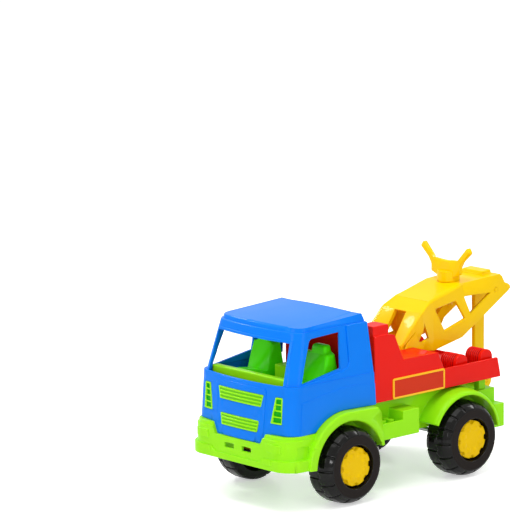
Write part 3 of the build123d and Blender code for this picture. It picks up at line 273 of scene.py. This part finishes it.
def faulty_spots(piece, solid, widest):
    """Middles of the rounded triangles that are turned over against the nearest face, or well off it."""
    graph = bpy.context.evaluated_depsgraph_get()
    graph.update()
    rounded = piece.evaluated_get(graph)
    mesh = rounded.to_mesh()
    mesh.calc_loop_triangles()
    place = np.empty(3 * len(mesh.vertices))
    mesh.vertices.foreach_get("co", place)
    corners = np.empty(3 * len(mesh.loop_triangles), np.int32)
    mesh.loop_triangles.foreach_get("vertices", corners)
    rounded.to_mesh_clear()
    a, b, c = (place.reshape(-1, 3)[corners.reshape(-1, 3)[:, i]] for i in range(3))
    normals = np.cross(b - a, c - a)
    size = np.linalg.norm(normals, axis=1)
    found = []
    for i in np.nonzero(size > 1e-10)[0]:
        middle = (a[i] + b[i] + c[i]) / 3
        _, normal, _, gap = solid.find_nearest(Vector(middle))
        if normals[i] @ normal < -TURNED * size[i] or gap > OFF_SHARE * widest + OFF_GAP * MM:
            found.append(middle)
    return np.array(found).reshape(-1, 3)


def settle(piece, solid, widest):
    """Leaves the edges sharp about each faulty spot, round by round, until none is left."""
    mesh = piece.data
    ends = np.array([[mesh.vertices[i].co for i in edge.vertices] for edge in mesh.edges])
    start, run = ends[:, 0], ends[:, 1] - ends[:, 0]
    weight = np.empty(len(ends), np.float32)
    mesh.attributes["bevel_weight_edge"].data.foreach_get("value", weight)
    for step in range(1, SPOT_ROUNDS):
        spots = faulty_spots(piece, solid, widest)
        if not len(spots):
            break
        along = np.einsum("sed,ed->se", spots[:, None] - start, run) / np.maximum((run * run).sum(1), 1e-12)
        nearest = start + np.clip(along, 0, 1)[..., None] * run
        gap = np.linalg.norm(spots[:, None] - nearest, axis=2).min(axis=0)
        weight[gap < SPOT_SHARE * weight * widest + SPOT_REACH * MM * step] = 0
        mesh.attributes["bevel_weight_edge"].data.foreach_set("value", weight)
        mesh.update()


def rounded_copy(node, radius, segments):
    """The node's faces merged into whole panels, with each sharp edge rounded as far as there is room."""
    mesh = frame["nodes"][node].data.copy()
    shell = bmesh.new()
    shell.from_mesh(mesh)
    bmesh.ops.remove_doubles(shell, verts=shell.verts, dist=MERGE_GAP * MM)
    bmesh.ops.dissolve_limit(
        shell,
        angle_limit=FLAT,
        use_dissolve_boundaries=False,
        verts=shell.verts,
        edges=shell.edges,
    )
    bmesh.ops.dissolve_degenerate(shell, dist=LEAST_EDGE * MM, edges=shell.edges)
    bmesh.ops.connect_verts_concave(shell, faces=shell.faces)
    shell.edges.index_update()
    solid = BVHTree.FromBMesh(shell)
    widest = max([radius] + [row[-1] for row in SOFT_EDGES if row[0] == node]) * MM
    weights = shell.edges.layers.float.new("bevel_weight_edge")
    width = np.zeros(len(shell.edges))
    creased = np.zeros(len(shell.edges), bool)
    for edge in shell.edges:
        if len(edge.link_faces) == 2 and edge.calc_face_angle() > SHARP:
            wanted = wanted_radius(node, (edge.verts[0].co + edge.verts[1].co) / 2, radius) * MM
            width[edge.index] = wanted if edge.is_convex else wanted * INNER_SHARE
            creased[edge.index] = True
    width = fit_widths(shell, width)
    for edge in shell.edges:
        edge[weights] = width[edge.index] / widest
    shell.to_mesh(mesh)
    shell.free()
    piece = bpy.data.objects.new(node + "_rounded", mesh)
    mesh.name = piece.name
    bpy.context.scene.collection.objects.link(piece)
    mesh.materials.clear()
    mesh.materials.append(NODE_PAINTED_LIGHT.get(node, SLOT_FINISH[NODE_SLOT[node]]))
    mesh.polygons.foreach_set("use_smooth", np.ones(len(mesh.polygons), bool))
    bevel = piece.modifiers.new("rounding", "BEVEL")
    bevel.width = widest
    bevel.segments = segments
    bevel.limit_method = "WEIGHT"
    bevel.miter_outer = "MITER_ARC"
    bevel.use_clamp_overlap = False
    settle(piece, solid, widest)
    weight = np.empty(len(creased), np.float32)
    mesh.attributes["bevel_weight_edge"].data.foreach_get("value", weight)
    crisp = mesh.attributes.new("sharp_edge", "BOOLEAN", "EDGE")
    crisp.data.foreach_set("value", creased & (weight < LEAST_WEIGHT))
    shade = piece.modifiers.new("shading", "WEIGHTED_NORMAL")
    shade.keep_sharp = True
    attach(piece, NODE_BODY[node])
    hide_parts(node)
    return piece


# Surfaces worked out on a grid


def rounded_line(corners, radii, steps=5):
    """Open line through corners, each replaced by an arc of its radius that touches both runs beside it."""
    corners = np.array(corners, float)
    line = [corners[:1]]
    for before, corner, after, radius in zip(corners[:-2], corners[1:-1], corners[2:], radii):
        back = (before - corner) / np.linalg.norm(before - corner)
        ahead = (after - corner) / np.linalg.norm(after - corner)
        half = math.acos(np.clip(back @ ahead, -1, 1)) / 2
        centre = corner + (back + ahead) / np.linalg.norm(back + ahead) * radius / math.sin(half)
        first = corner + back * radius / math.tan(half) - centre
        last = corner + ahead * radius / math.tan(half) - centre
        turn = np.linspace(0, 1, steps)[:, None]
        sweep = math.acos(np.clip(first @ last / radius**2, -1, 1))
        arc = (np.sin((1 - turn) * sweep) * first + np.sin(turn * sweep) * last) / math.sin(sweep)
        line.append(centre + arc)
    line.append(corners[-1:])
    return np.concatenate(line)


def split_runs(line, longest):
    """The same line with its long runs divided, so that no run is longer than the given length."""
    pieces = []
    for start, end in zip(line[:-1], line[1:]):
        count = max(1, math.ceil(np.linalg.norm(end - start) / longest))
        pieces.append(start + (end - start) * (np.arange(count) / count)[:, None])
    return np.concatenate(pieces + [line[-1:]])


def grid_faces(rows, columns, wrap_rows, wrap_columns):
    """Corner numbers of the quads between neighbouring points of a grid, closed round where asked."""
    row = np.arange(rows if wrap_rows else rows - 1)[:, None]
    column = np.arange(columns if wrap_columns else columns - 1)[None, :]
    next_row, next_column = (row + 1) % rows, (column + 1) % columns
    quad = [row * columns + column, next_row * columns + column]
    quad += [next_row * columns + next_column, row * columns + next_column]
    return np.stack(np.broadcast_arrays(*quad), -1).reshape(-1, 4)


def surface(name, points, faces, finishes, face_finish=None):
    """Mesh piece in metres from points in mm, with its faces pointing outwards and its shading smooth."""
    mesh = bpy.data.meshes.new(name)
    mesh.from_pydata((points * MM).tolist(), [], [face for face in faces])
    for finish in finishes:
        mesh.materials.append(finish)
    if face_finish is not None:
        mesh.polygons.foreach_set("material_index", face_finish.astype(np.int32))
    mesh.polygons.foreach_set("use_smooth", np.ones(len(mesh.polygons), bool))
    shell = bmesh.new()
    shell.from_mesh(mesh)
    bmesh.ops.remove_doubles(shell, verts=shell.verts, dist=0.001 * MM)
    bmesh.ops.recalc_face_normals(shell, faces=shell.faces)
    shell.to_mesh(mesh)
    shell.free()
    piece = bpy.data.objects.new(name, mesh)
    bpy.context.scene.collection.objects.link(piece)
    return piece


def stand_for(piece, *nodes):
    """The piece takes the place and the body of the nodes it stands for, which are hidden."""
    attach(piece, NODE_BODY[nodes[0]])
    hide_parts(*nodes)


def smooth_step(value):
    """0 below 0, 1 above 1, with a soft rise between."""
    value = np.clip(value, 0, 1)
    return value * value * (3 - 2 * value)


# Wheels
TYRE_INNER = 46.2
# Longest run of the tyre's section between two points, and of the hub's
TYRE_RUN = 1.3
HUB_RUN = 0.55
# Groove between the two rows of lugs: its place, the height of its waves, its half width, softness and depth
SEAM_AT = 13.4
SEAM_WAVE = 0.5
SEAM_HALF = 0.3
SEAM_SOFT = 0.5
SEAM_SHARE = 0.55
# Grooves fade out over this length at the ends of their row, and inwards from this radius over this rise
ROW_FADE = 0.8
LUG_FROM = 25.2
LUG_RISE = 1.6
LUGS = 15
GROOVE_HALF = 0.8
GROOVE_SOFT = 0.55
GROOVE_DEPTH = 1.25
# Tyre section, columns: radius, distance from the inner sidewall, rounding
TYRE_SECTION = (
    (7.5, 13.8, 0.0),
    (21.0, 13.8, 1.2),
    (23.4, 0.0, 0.8),
    (28.2, 0.0, 1.4),
    (30.8, 1.1, 1.6),
    (31.6, 4.4, 2.5),
    (31.6, 14.0, 5.0),
    (30.7, 19.2, 4.0),
    (28.9, 22.6, 2.6),
    (26.4, 25.2, 1.4),
    (24.6, 25.8, 1.0),
    (18.1, 26.0, 0.7),
    (16.9, 19.8, 0.9),
    (7.5, 19.8, 0.0),
)
# The grooves of a row run between two distances from the inner sidewall, turned by a share of a pitch
GROOVE_ROWS = ((SEAM_AT, 25.4, 0.0), (0.4, SEAM_AT, 0.5))
# Shares of the angle between two grooves at which the tyre has a row of points, close beside a groove
GROOVE_POINTS = (0, 0.04, 0.075, 0.11, 0.15, 0.21, 0.3, 0.4, 0.5, 0.6, 0.7, 0.79, 0.85, 0.89, 0.925, 0.96)
SIDEWALL_FROM, SIDEWALL_TO = 18.6, 25.2


def tyre(name, axle_x, side):
    """Tyre turned from its section; each lug is left standing where the section sinks along its own normal
    by the groove depth, times a soft-edged strip across each row at every pitch, and less near its ends."""
    table = np.array(TYRE_SECTION)
    line = split_runs(rounded_line(table[:, :2], table[1:-1, 2]), TYRE_RUN)
    run = np.gradient(line, axis=0)
    inward = np.stack([-run[:, 1], run[:, 0]], -1) / np.linalg.norm(run, axis=1)[:, None]
    shares = np.array(GROOVE_POINTS)
    cells = np.arange(2 * LUGS)[:, None]
    angle = ((cells + shares) * math.pi / LUGS).ravel()[:, None]
    radius, across = line[:, 0][None, :], line[:, 1][None, :]
    pitch = 2 * math.pi / LUGS
    sink = np.zeros((len(angle), len(line)))
    for row_from, row_to, turn in GROOVE_ROWS:
        off = (angle / pitch - turn + 0.5) % 1 - 0.5
        gap = np.abs(off) * pitch * radius
        strip = 1 - smooth_step((gap - GROOVE_HALF + GROOVE_SOFT / 2) / GROOVE_SOFT)
        middle, reach = (row_from + row_to) / 2, (row_to - row_from) / 2
        inside = 1 - smooth_step((np.abs(across - middle) - reach + ROW_FADE) / ROW_FADE)
        sink = np.maximum(sink, strip * inside)
    off_seam = np.abs(across - SEAM_AT - SEAM_WAVE * np.sin(2 * LUGS * angle))
    seam = 1 - smooth_step((off_seam - SEAM_HALF) / SEAM_SOFT)
    outer = smooth_step((radius - LUG_FROM) / LUG_RISE)
    sink = np.maximum(sink, SEAM_SHARE * seam) * outer * GROOVE_DEPTH
    radius = radius + sink * inward[:, 0]
    across = across + sink * inward[:, 1]
    spot = [
        FRONT_AXLE_X + axle_x + radius * np.cos(angle),
        side * (TYRE_INNER + across),
        TYRE_RADIUS + radius * np.sin(angle),
    ]
    points = np.stack(np.broadcast_arrays(*spot), -1).reshape(-1, 3)
    faces = grid_faces(len(angle), len(line), True, True)
    middle_radius = (line[:, 0] + np.roll(line[:, 0], -1)) / 2
    middle_across = (line[:, 1] + np.roll(line[:, 1], -1)) / 2
    matte = (middle_radius > SIDEWALL_FROM) & (middle_radius < SIDEWALL_TO) & (middle_across > 25)
    return surface(name, points, faces, (TREAD, SIDEWALL), np.tile(matte, len(angle)))


HUB_NOTCHES = 8
NOTCH_RADIUS = 2.4
NOTCH_DEPTH = 2.1
NOTCH_RING = 16.0
BUMP_RING = 9.6
BUMP_RADIUS = 2.7
BUMP_HEIGHT = 0.55
HUB_FACE, HUB_BACK = 70.2, 66.0
# Nearer the truck's middle than this the notches and bumps don't reach
HUB_FACE_FROM = 67.5
HUB_STEPS = 240
# Hub section, columns: radius, distance from the truck's middle, rounding
HUB_SECTION = (
    (0.0, HUB_FACE, 0.0),
    (16.0, HUB_FACE, 0.8),
    (16.0, HUB_BACK, 0.3),
    (7.5, HUB_BACK, 0.5),
    (7.5, 45.3, 0.3),
    (0.0, 45.3, 0.0),
)


def hub(name, axle_x, side):
    """Hub turned from its section; its face sinks softly within a circle about each notch on the rim
    and rises as a low dome, 1 - (d / r)^2 smoothed, about each bump."""
    table = np.array(HUB_SECTION)
    line = split_runs(rounded_line(table[:, :2], table[1:-1, 2]), HUB_RUN)
    shown = line[:, 1] > HUB_BACK - 0.1
    line = np.concatenate([line[shown], line[~shown][::3], line[-1:]])
    angle = np.linspace(0, 2 * math.pi, HUB_STEPS, endpoint=False)[:, None]
    radius = line[:, 0][None, :] + 0 * angle
    across = line[:, 1][None, :] + 0 * angle
    x, z = radius * np.cos(angle), radius * np.sin(angle)
    pitch = 2 * math.pi / HUB_NOTCHES
    near_notch = np.round(angle / pitch) * pitch
    near_bump = (np.floor(angle / pitch) + 0.5) * pitch
    to_notch = np.hypot(x - NOTCH_RING * np.cos(near_notch), z - NOTCH_RING * np.sin(near_notch))
    to_bump = np.hypot(x - BUMP_RING * np.cos(near_bump), z - BUMP_RING * np.sin(near_bump))
    sunk = 1 - smooth_step((to_notch - NOTCH_RADIUS + 0.2) / 0.5)
    dome = smooth_step(1 - (to_bump / BUMP_RADIUS) ** 2)
    on_face = across > HUB_FACE_FROM
    carved = np.minimum(across, HUB_FACE - NOTCH_DEPTH * sunk) + BUMP_HEIGHT * dome
    across = np.where(on_face, np.maximum(carved, HUB_FACE - NOTCH_DEPTH), across)
    spot = [FRONT_AXLE_X + axle_x + x, side * across, TYRE_RADIUS + z]
    points = np.stack(spot, -1).reshape(-1, 3)
    return surface(name, points, grid_faces(len(angle), len(line), True, False), (HUB_YELLOW,))


for axle_name, axle_x in (("front", 0.0), ("rear", -WHEELBASE)):
    for side_name, side in SIDES:
        wheel = f"{axle_name}_{{}}_{side_name}"
        stand_for(tyre(wheel.format("tyre") + "_lugged", axle_x, side), wheel.format("tyre"))
        stand_for(hub(wheel.format("hub") + "_notched", axle_x, side), wheel.format("hub"))


# Cable drums
DRUM_BACKS = (142.0, 171.5)
DRUM_RADIUS = 7.0
DRUM_Z = 92.38
DRUM_FOOT = 84.58
DRUM_FROM, DRUM_TO, DRUM_CAP = 31.0, 49.5, 3.0
DRUM_RINGS = 7
RING_DEPTH = 1.0
# Rows of points for each ring, and rounding of the drum's two ends
RING_STEPS = 10
DRUM_EDGE = 0.5


def drum(back, side):
    """Points, faces and groove faces of one drum: an arch, upright below and round above, carried across the
    truck; its radius dips by the ring depth times (1 - cos) / 2 at each ring, and its ends are rounded."""
    ring_span = DRUM_TO - DRUM_CAP - DRUM_FROM
    ends = np.array([0.0, 0.05, 0.2, DRUM_EDGE])
    rings = np.linspace(DRUM_EDGE + 0.1, ring_span, DRUM_RINGS * RING_STEPS)
    across = np.concatenate([ends, rings, DRUM_TO - DRUM_FROM - ends[::-1]])
    end_gap = np.minimum(across, DRUM_TO - DRUM_FROM - across)
    round_off = DRUM_EDGE - np.sqrt(DRUM_EDGE**2 - np.clip(DRUM_EDGE - end_gap, 0, DRUM_EDGE) ** 2)
    wave = np.where(across < ring_span, (1 - np.cos(2 * math.pi * DRUM_RINGS * across / ring_span)) / 2, 0)
    size = DRUM_RADIUS - round_off - RING_DEPTH * wave
    size = np.concatenate([[0.0], size, [0.0]])
    across = np.concatenate([[0.0], across, [DRUM_TO - DRUM_FROM]])
    turn = np.linspace(0, math.pi, 33)
    arch = np.stack([np.cos(turn), np.sin(turn)], -1)
    foot = np.array([[1.0, 0.0], [-1.0, 0.0]])
    arch = np.concatenate([foot[:1], arch, foot[1:]])
    drop = np.zeros(len(arch))
    drop[[0, -1]] = DRUM_Z - DRUM_FOOT
    shrink = np.where(size > 0, 1.0, 0.0)[:, None]
    x = -back + size[:, None] * arch[:, 0]
    z = DRUM_Z + size[:, None] * arch[:, 1] - drop * shrink
    y = side * (DRUM_FROM + across)[:, None] + 0 * x
    points = np.stack([FRONT_AXLE_X + x, y, z], -1).reshape(-1, 3)
    dip = np.concatenate([[0.0], wave, [0.0]])
    # Faces deep in a ring's dip take the darker red: painted shade in the grooves
    groove = np.repeat((dip[:-1] + dip[1:]) / 2 > 0.55, len(arch))
    return points, grid_faces(len(across), len(arch), False, True), groove


for side_name, side in SIDES:
    first, first_faces, groove = drum(DRUM_BACKS[0], side)
    second, second_faces, _ = drum(DRUM_BACKS[1], side)
    points = np.concatenate([first, second])
    faces = np.concatenate([first_faces, second_faces + len(first)])
    ribbed = surface(f"cable_drums_{side_name}_ribbed", points, faces, (RED, PAINTED_SHADE_GROOVE_RED), np.tile(groove, 2))
    stand_for(ribbed, f"cable_drums_{side_name}")


# Sign plates
PLATE_MIDDLE = (-87.25, 83.85)
PLATE_HALF = (29.75, 8.65)
PLATE_CORNER = 1.8
PLATE_BACK, PLATE_FACE = 54.0, 55.0
BORDER = 1.5
BORDER_PROUD = 0.3
# Rings of the plate from its back edge inwards, columns: distance in from the edge, distance from the middle
PLATE_RINGS = (
    (0.0, PLATE_BACK),
    (0.0, PLATE_FACE - 0.35),
    (0.1, PLATE_FACE - 0.1),
    (0.35, PLATE_FACE),
    (BORDER - 0.2, PLATE_FACE),
    (BORDER, PLATE_FACE - 0.1),
    (BORDER + 0.15, PLATE_FACE - BORDER_PROUD),
    (BORDER + 2.5, PLATE_FACE - BORDER_PROUD),
    (BORDER + 5.5, PLATE_FACE - BORDER_PROUD),
)


def sign_plate(name, side):
    """Rounded rectangle drawn inwards in rings, raised at its border; one flat face closes the last ring."""
    turn = np.linspace(0, math.pi / 2, 7)
    rings = []
    for inset, y in PLATE_RINGS:
        radius = max(PLATE_CORNER - inset, 0.15)
        half_x, half_z = PLATE_HALF[0] - inset - radius, PLATE_HALF[1] - inset - radius
        corners = ((1, 1, 0), (-1, 1, 1), (-1, -1, 2), (1, -1, 3))
        x = np.concatenate([sx * half_x + radius * np.cos(turn + q * math.pi / 2) for sx, sz, q in corners])
        z = np.concatenate([sz * half_z + radius * np.sin(turn + q * math.pi / 2) for sx, sz, q in corners])
        place = (FRONT_AXLE_X + PLATE_MIDDLE[0] + x, np.full_like(x, side * y), PLATE_MIDDLE[1] + z)
        rings.append(np.stack(place, -1))
    count = len(rings[0])
    quads = grid_faces(len(rings), count, False, True)
    last = (len(rings) - 1) * count
    faces = quads.tolist() + [list(range(last, last + count)), list(range(count))[::-1]]
    finish = np.ones(len(faces))
    ring_of = np.repeat(np.arange(len(rings) - 1), count)
    finish[: len(quads)] = ring_of < 6
    finish[-2:] = 0, 1
    return surface(name, np.concatenate(rings), faces, (SIGN, SIGN_BORDER), finish)


for side_name, side in SIDES:
    plate = sign_plate(f"sign_plate_{side_name}_bordered", side)
    plate.data.polygons.foreach_set("use_smooth", np.zeros(len(plate.data.polygons), bool))
    stand_for(plate, f"sign_plate_{side_name}")


# Grilles and headlamps let into the bowed front
FRONT_LOW, FRONT_HIGH = (54.0, 63.8, 58.0), (102.4, 60.4, 56.9)
BOW = 6.0
INSERT_FRAME = 1.3
INSERT_CORNER = 1.0
INSERT_EDGE = 0.3
INSERT_BACK = 1.9
CELL_SLOPE = 0.4
# Columns: node, inner and outer y at the foot, foot, inner and outer y at the top, top, height above the
# cab's surface, number of cells one above the other, their depth, width of the bars between them
INSERTS = (
    ("grille_upper", (-24.7, 24.7), 83.4, (-27.1, 27.1), 93.3, 0.8, 3, 0.9, 1.3),
    ("grille_lower", (-21.3, 21.3), 62.4, (-23.1, 23.1), 72.0, 0.8, 3, 0.9, 1.3),
    ("headlamp_left", (35.2, 46.6), 71.7, (39.4, 46.6), 93.3, 0.4, 4, 1.6, 1.0),
    ("headlamp_right", (-35.2, -46.6), 71.7, (-39.4, -46.6), 93.3, 0.4, 4, 1.6, 1.0),
)


def cab_front(y, z):
    """x of the cab's front, which leans back upwards: a bow b across a half width h, R = (h^2 + b^2) / 2b."""
    share = (z - FRONT_LOW[0]) / (FRONT_HIGH[0] - FRONT_LOW[0])
    front, half = (low + share * (high - low) for low, high in zip(FRONT_LOW[1:], FRONT_HIGH[1:]))
    radius = (half**2 + BOW**2) / (2 * BOW)
    return front - radius + np.sqrt(radius**2 - y**2)


def arc_drop(gap, radius):
    """Drop of a rounded edge at a distance in from it."""
    return radius - np.sqrt(radius**2 - np.clip(radius - gap, 0, radius) ** 2)


def cell_edge(gap):
    """Soft rise from a cell's edge inwards, over the width of its slope."""
    return smooth_step((gap + CELL_SLOPE / 2) / CELL_SLOPE)


def let_in(name, foot_span, foot, top_span, top, proud, cells, depth, bar):
    """Plate that follows the cab's front at a height above it, with rounded corners and edges; inside its
    frame it sinks by a smooth step into cells parted by bars."""
    z = split_runs(np.array([[foot], [foot + 1.0], [top - 1.0], [top]]), 0.16)
    across = split_runs(np.array([[0.0], [1.5], [abs(foot_span[1] - foot_span[0]) - 1.5]]), 0.35).ravel()
    share = np.append(across / (across[-1] + 1.5), [1 - 0.3 / across[-1], 1 - 0.1 / across[-1], 1.0])[None, :]
    rise = (z - foot) / (top - foot)
    end_gap = np.minimum(z - foot, top - z)
    inner, outer = (low + rise * (high - low) for low, high in zip(foot_span, top_span))
    side = np.sign(outer - inner)
    trim = side * arc_drop(end_gap, INSERT_CORNER)
    y = inner + trim + share * (outer - inner - 2 * trim)
    side_gap = np.minimum(np.abs(y - inner), np.abs(outer - y))
    gap = np.minimum(side_gap, end_gap)
    inside = cell_edge(side_gap - INSERT_FRAME) * cell_edge(end_gap - INSERT_FRAME)
    pitch = (top - foot - 2 * INSERT_FRAME + bar) / cells
    along = ((z - foot - INSERT_FRAME + bar / 2) / pitch) % 1
    cell = cell_edge((0.5 - np.abs(along - 0.5)) * pitch - bar / 2)
    sunk = depth * inside * cell
    x = cab_front(y, z + 0 * y) + proud - sunk - arc_drop(gap, INSERT_EDGE)
    rows, columns = y.shape
    front = np.stack([FRONT_AXLE_X + x, y, z + 0 * y], -1)
    rim = np.arange(rows * columns).reshape(rows, columns)
    rim = np.concatenate([rim[0], rim[1:, -1], rim[-1, -2::-1], rim[-2:0:-1, 0]])
    backing = front.reshape(-1, 3)[rim].copy()
    backing[:, 0] -= INSERT_BACK + proud
    back_rim = rows * columns + np.arange(len(rim))
    skirt = np.stack([rim, np.roll(rim, -1), np.roll(back_rim, -1), back_rim], -1)
    faces = grid_faces(rows, columns, False, False)
    # Faces sunk past 0.6 of the depth take a darker lime: painted shade in the grooves and cells
    painted_shade_floors = ((sunk[:-1, :-1] + sunk[1:, 1:]) / 2 > 0.6 * depth).ravel()
    finish = np.concatenate([painted_shade_floors, np.zeros(len(skirt) + 1)])
    faces = faces.tolist() + skirt.tolist() + [back_rim[::-1].tolist()]
    points = np.concatenate([front.reshape(-1, 3), backing])
    cell_floor_painted_shade = PAINTED_SHADE_GRILLE_LIME if name.startswith("grille") else PAINTED_SHADE_CELL_LIME
    return surface(name + "_framed", points, faces, (LIME, cell_floor_painted_shade), finish)


for name, *table in INSERTS:
    stand_for(let_in(name, *table), name)


# Moulded pieces
for node, radius, segments in ROUNDINGS:
    rounded_copy(node, radius, segments)
for node in ("front_axle", "rear_axle", "boom_pin", "hook_pin"):
    shown = frame["nodes"][node]
    shown.data.materials.clear()
    shown.data.materials.append(SLOT_FINISH[NODE_SLOT[node]])


# Studio


# Rays that see the white background: the camera's, and those that plastics and metal mirror or let through
BACKGROUND_RAYS = ("Is Camera Ray", "Is Glossy Ray", "Is Transmission Ray")


def background_share(tree):
    """Output that is 1 for the rays that see the background and 0 for those that light the object."""
    ray = tree.nodes.new("ShaderNodeLightPath")
    share = ray.outputs[BACKGROUND_RAYS[0]]
    for kind in BACKGROUND_RAYS[1:]:
        either = tree.nodes.new("ShaderNodeMath")
        either.operation = "MAXIMUM"
        tree.links.new(share, either.inputs[0])
        tree.links.new(ray.outputs[kind], either.inputs[1])
        share = either.outputs["Value"]
    return share


def studio_surface(name, shade, lift):
    """Pale satin surface that keeps its shadow, lifted towards white where it is seen as the background."""
    material = bpy.data.materials.new(name)
    material.use_nodes = True
    tree = material.node_tree
    shader = tree.nodes["Principled BSDF"]
    shader.inputs["Roughness"].default_value = 0.38
    shader.inputs["Emission Color"].default_value = (1, 1, 1, 1)
    place = tree.nodes.new("ShaderNodeTexCoord")
    noise = add_node(tree, "ShaderNodeTexNoise", Scale=3.0)
    tones = tree.nodes.new("ShaderNodeMix")
    tones.data_type = "RGBA"
    tones.inputs["A"].default_value = (shade, shade, shade, 1)
    tones.inputs["B"].default_value = (shade * 0.99, shade * 0.99, shade * 0.99, 1)
    level = add_node(tree, "ShaderNodeMapRange", To_Min=0.0, To_Max=lift)
    for source, target in (
        (place.outputs["Object"], noise.inputs["Vector"]),
        (noise.outputs["Fac"], tones.inputs["Factor"]),
        (tones.outputs["Result"], shader.inputs["Base Color"]),
        (background_share(tree), level.inputs["Value"]),
        (level.outputs["Result"], shader.inputs["Emission Strength"]),
    ):
        tree.links.new(source, target)
    return material


def flat_grid(name, half_x, half_y, z):
    """Level grid of points x = half_x u, y = half_y v for u and v from -1 to 1."""
    steps = np.linspace(-1, 1, 9)
    u, v = np.meshgrid(steps, steps, indexing="ij")
    points = np.stack([half_x * u, half_y * v, np.full_like(u, z)], -1).reshape(-1, 3)
    mesh = bpy.data.meshes.new(name)
    mesh.from_pydata(points.tolist(), [], grid_faces(9, 9, False, False).tolist())
    piece = bpy.data.objects.new(name, mesh)
    bpy.context.scene.collection.objects.link(piece)
    return piece


floor = flat_grid("studio_floor", 6, 6, 0)
floor.data.materials.append(studio_surface("studio white", 0.9, 0.47))

world = bpy.data.worlds.new("studio")
bpy.context.scene.world = world
world.use_nodes = True
sky = world.node_tree
ambient = sky.nodes["Background"]
ambient.inputs["Color"].default_value = (1, 1, 1, 1)
ambient.inputs["Strength"].default_value = 0.5
backdrop = add_node(sky, "ShaderNodeBackground", Color=(1, 1, 1, 1), Strength=1.0)
choose = sky.nodes.new("ShaderNodeMixShader")
for source, target in (
    (background_share(sky), choose.inputs["Fac"]),
    (ambient.outputs["Background"], choose.inputs[1]),
    (backdrop.outputs["Background"], choose.inputs[2]),
    (choose.outputs["Shader"], sky.nodes["World Output"].inputs["Surface"]),
):
    sky.links.new(source, target)

# Lamps, columns: name, place, point aimed at, width, height, power
SOFTBOXES = (
    ("top softbox", (0.25, 0.15, 1.1), (0, 0, 0.05), 0.9, 0.9, 4.9),
    ("side softbox", (0.1, 1.3, 0.7), (0, 0, 0.08), 0.5, 0.8, 2.6),
    ("front softbox", (1.4, 0.0, 0.7), (0, 0, 0.08), 0.5, 0.8, 3.5),
    ("glint over the wheels", (0.3, 0.42, 1.2), (0, 0, 0.05), 0.12, 0.3, 1.3),
    ("glint on front edges", (0.24, -0.97, 0.87), (0, 0, 0.08), 0.3, 0.2, 4.8),
    ("glint on side edges", (-0.87, 0.24, 0.98), (0, 0, 0.08), 0.2, 0.3, 2.6),
    ("glint on the pillar", (1.25, 1.1, 0.42), (0, 0, 0.1), 0.1, 0.3, 2.1),
)
for name, place, aim, width, height, power in SOFTBOXES:
    lamp = bpy.data.lights.new(name, "AREA")
    lamp.shape = "RECTANGLE"
    lamp.size, lamp.size_y = width, height
    lamp.energy = power
    stand = bpy.data.objects.new(name, lamp)
    bpy.context.scene.collection.objects.link(stand)
    stand.location = place
    stand.rotation_mode = "QUATERNION"
    stand.rotation_quaternion = (Vector(aim) - Vector(place)).to_track_quat("-Z", "Y")

# Camera at the photo's angle
AZIMUTH = math.radians(138.218)
ELEVATION = math.radians(10.515)
ROLL = math.radians(-0.724)
FOCAL_PIXELS = 3479.0
FRAME_PIXELS = 520.0
CAMERA_PLACE = Vector((1.95605, 2.0501, 0.7078))
back = Vector(
    (
        math.sin(AZIMUTH) * math.cos(ELEVATION),
        -math.cos(AZIMUTH) * math.cos(ELEVATION),
        math.sin(ELEVATION),
    )
)
level = Vector((math.cos(AZIMUTH), math.sin(AZIMUTH), 0))
upright = back.cross(level)
right = math.cos(ROLL) * level + math.sin(ROLL) * upright
up = back.cross(right)
lens = bpy.data.cameras.new("camera")
lens.sensor_width = 36.0
lens.lens = FOCAL_PIXELS * lens.sensor_width / FRAME_PIXELS
lens.clip_end = 50
camera = bpy.data.objects.new("camera", lens)
bpy.context.scene.collection.objects.link(camera)
camera.matrix_world = Matrix.Translation(CAMERA_PLACE) @ Matrix((right, up, back)).transposed().to_4x4()
bpy.context.scene.camera = camera
bpy.context.scene.view_settings.view_transform = "Standard"
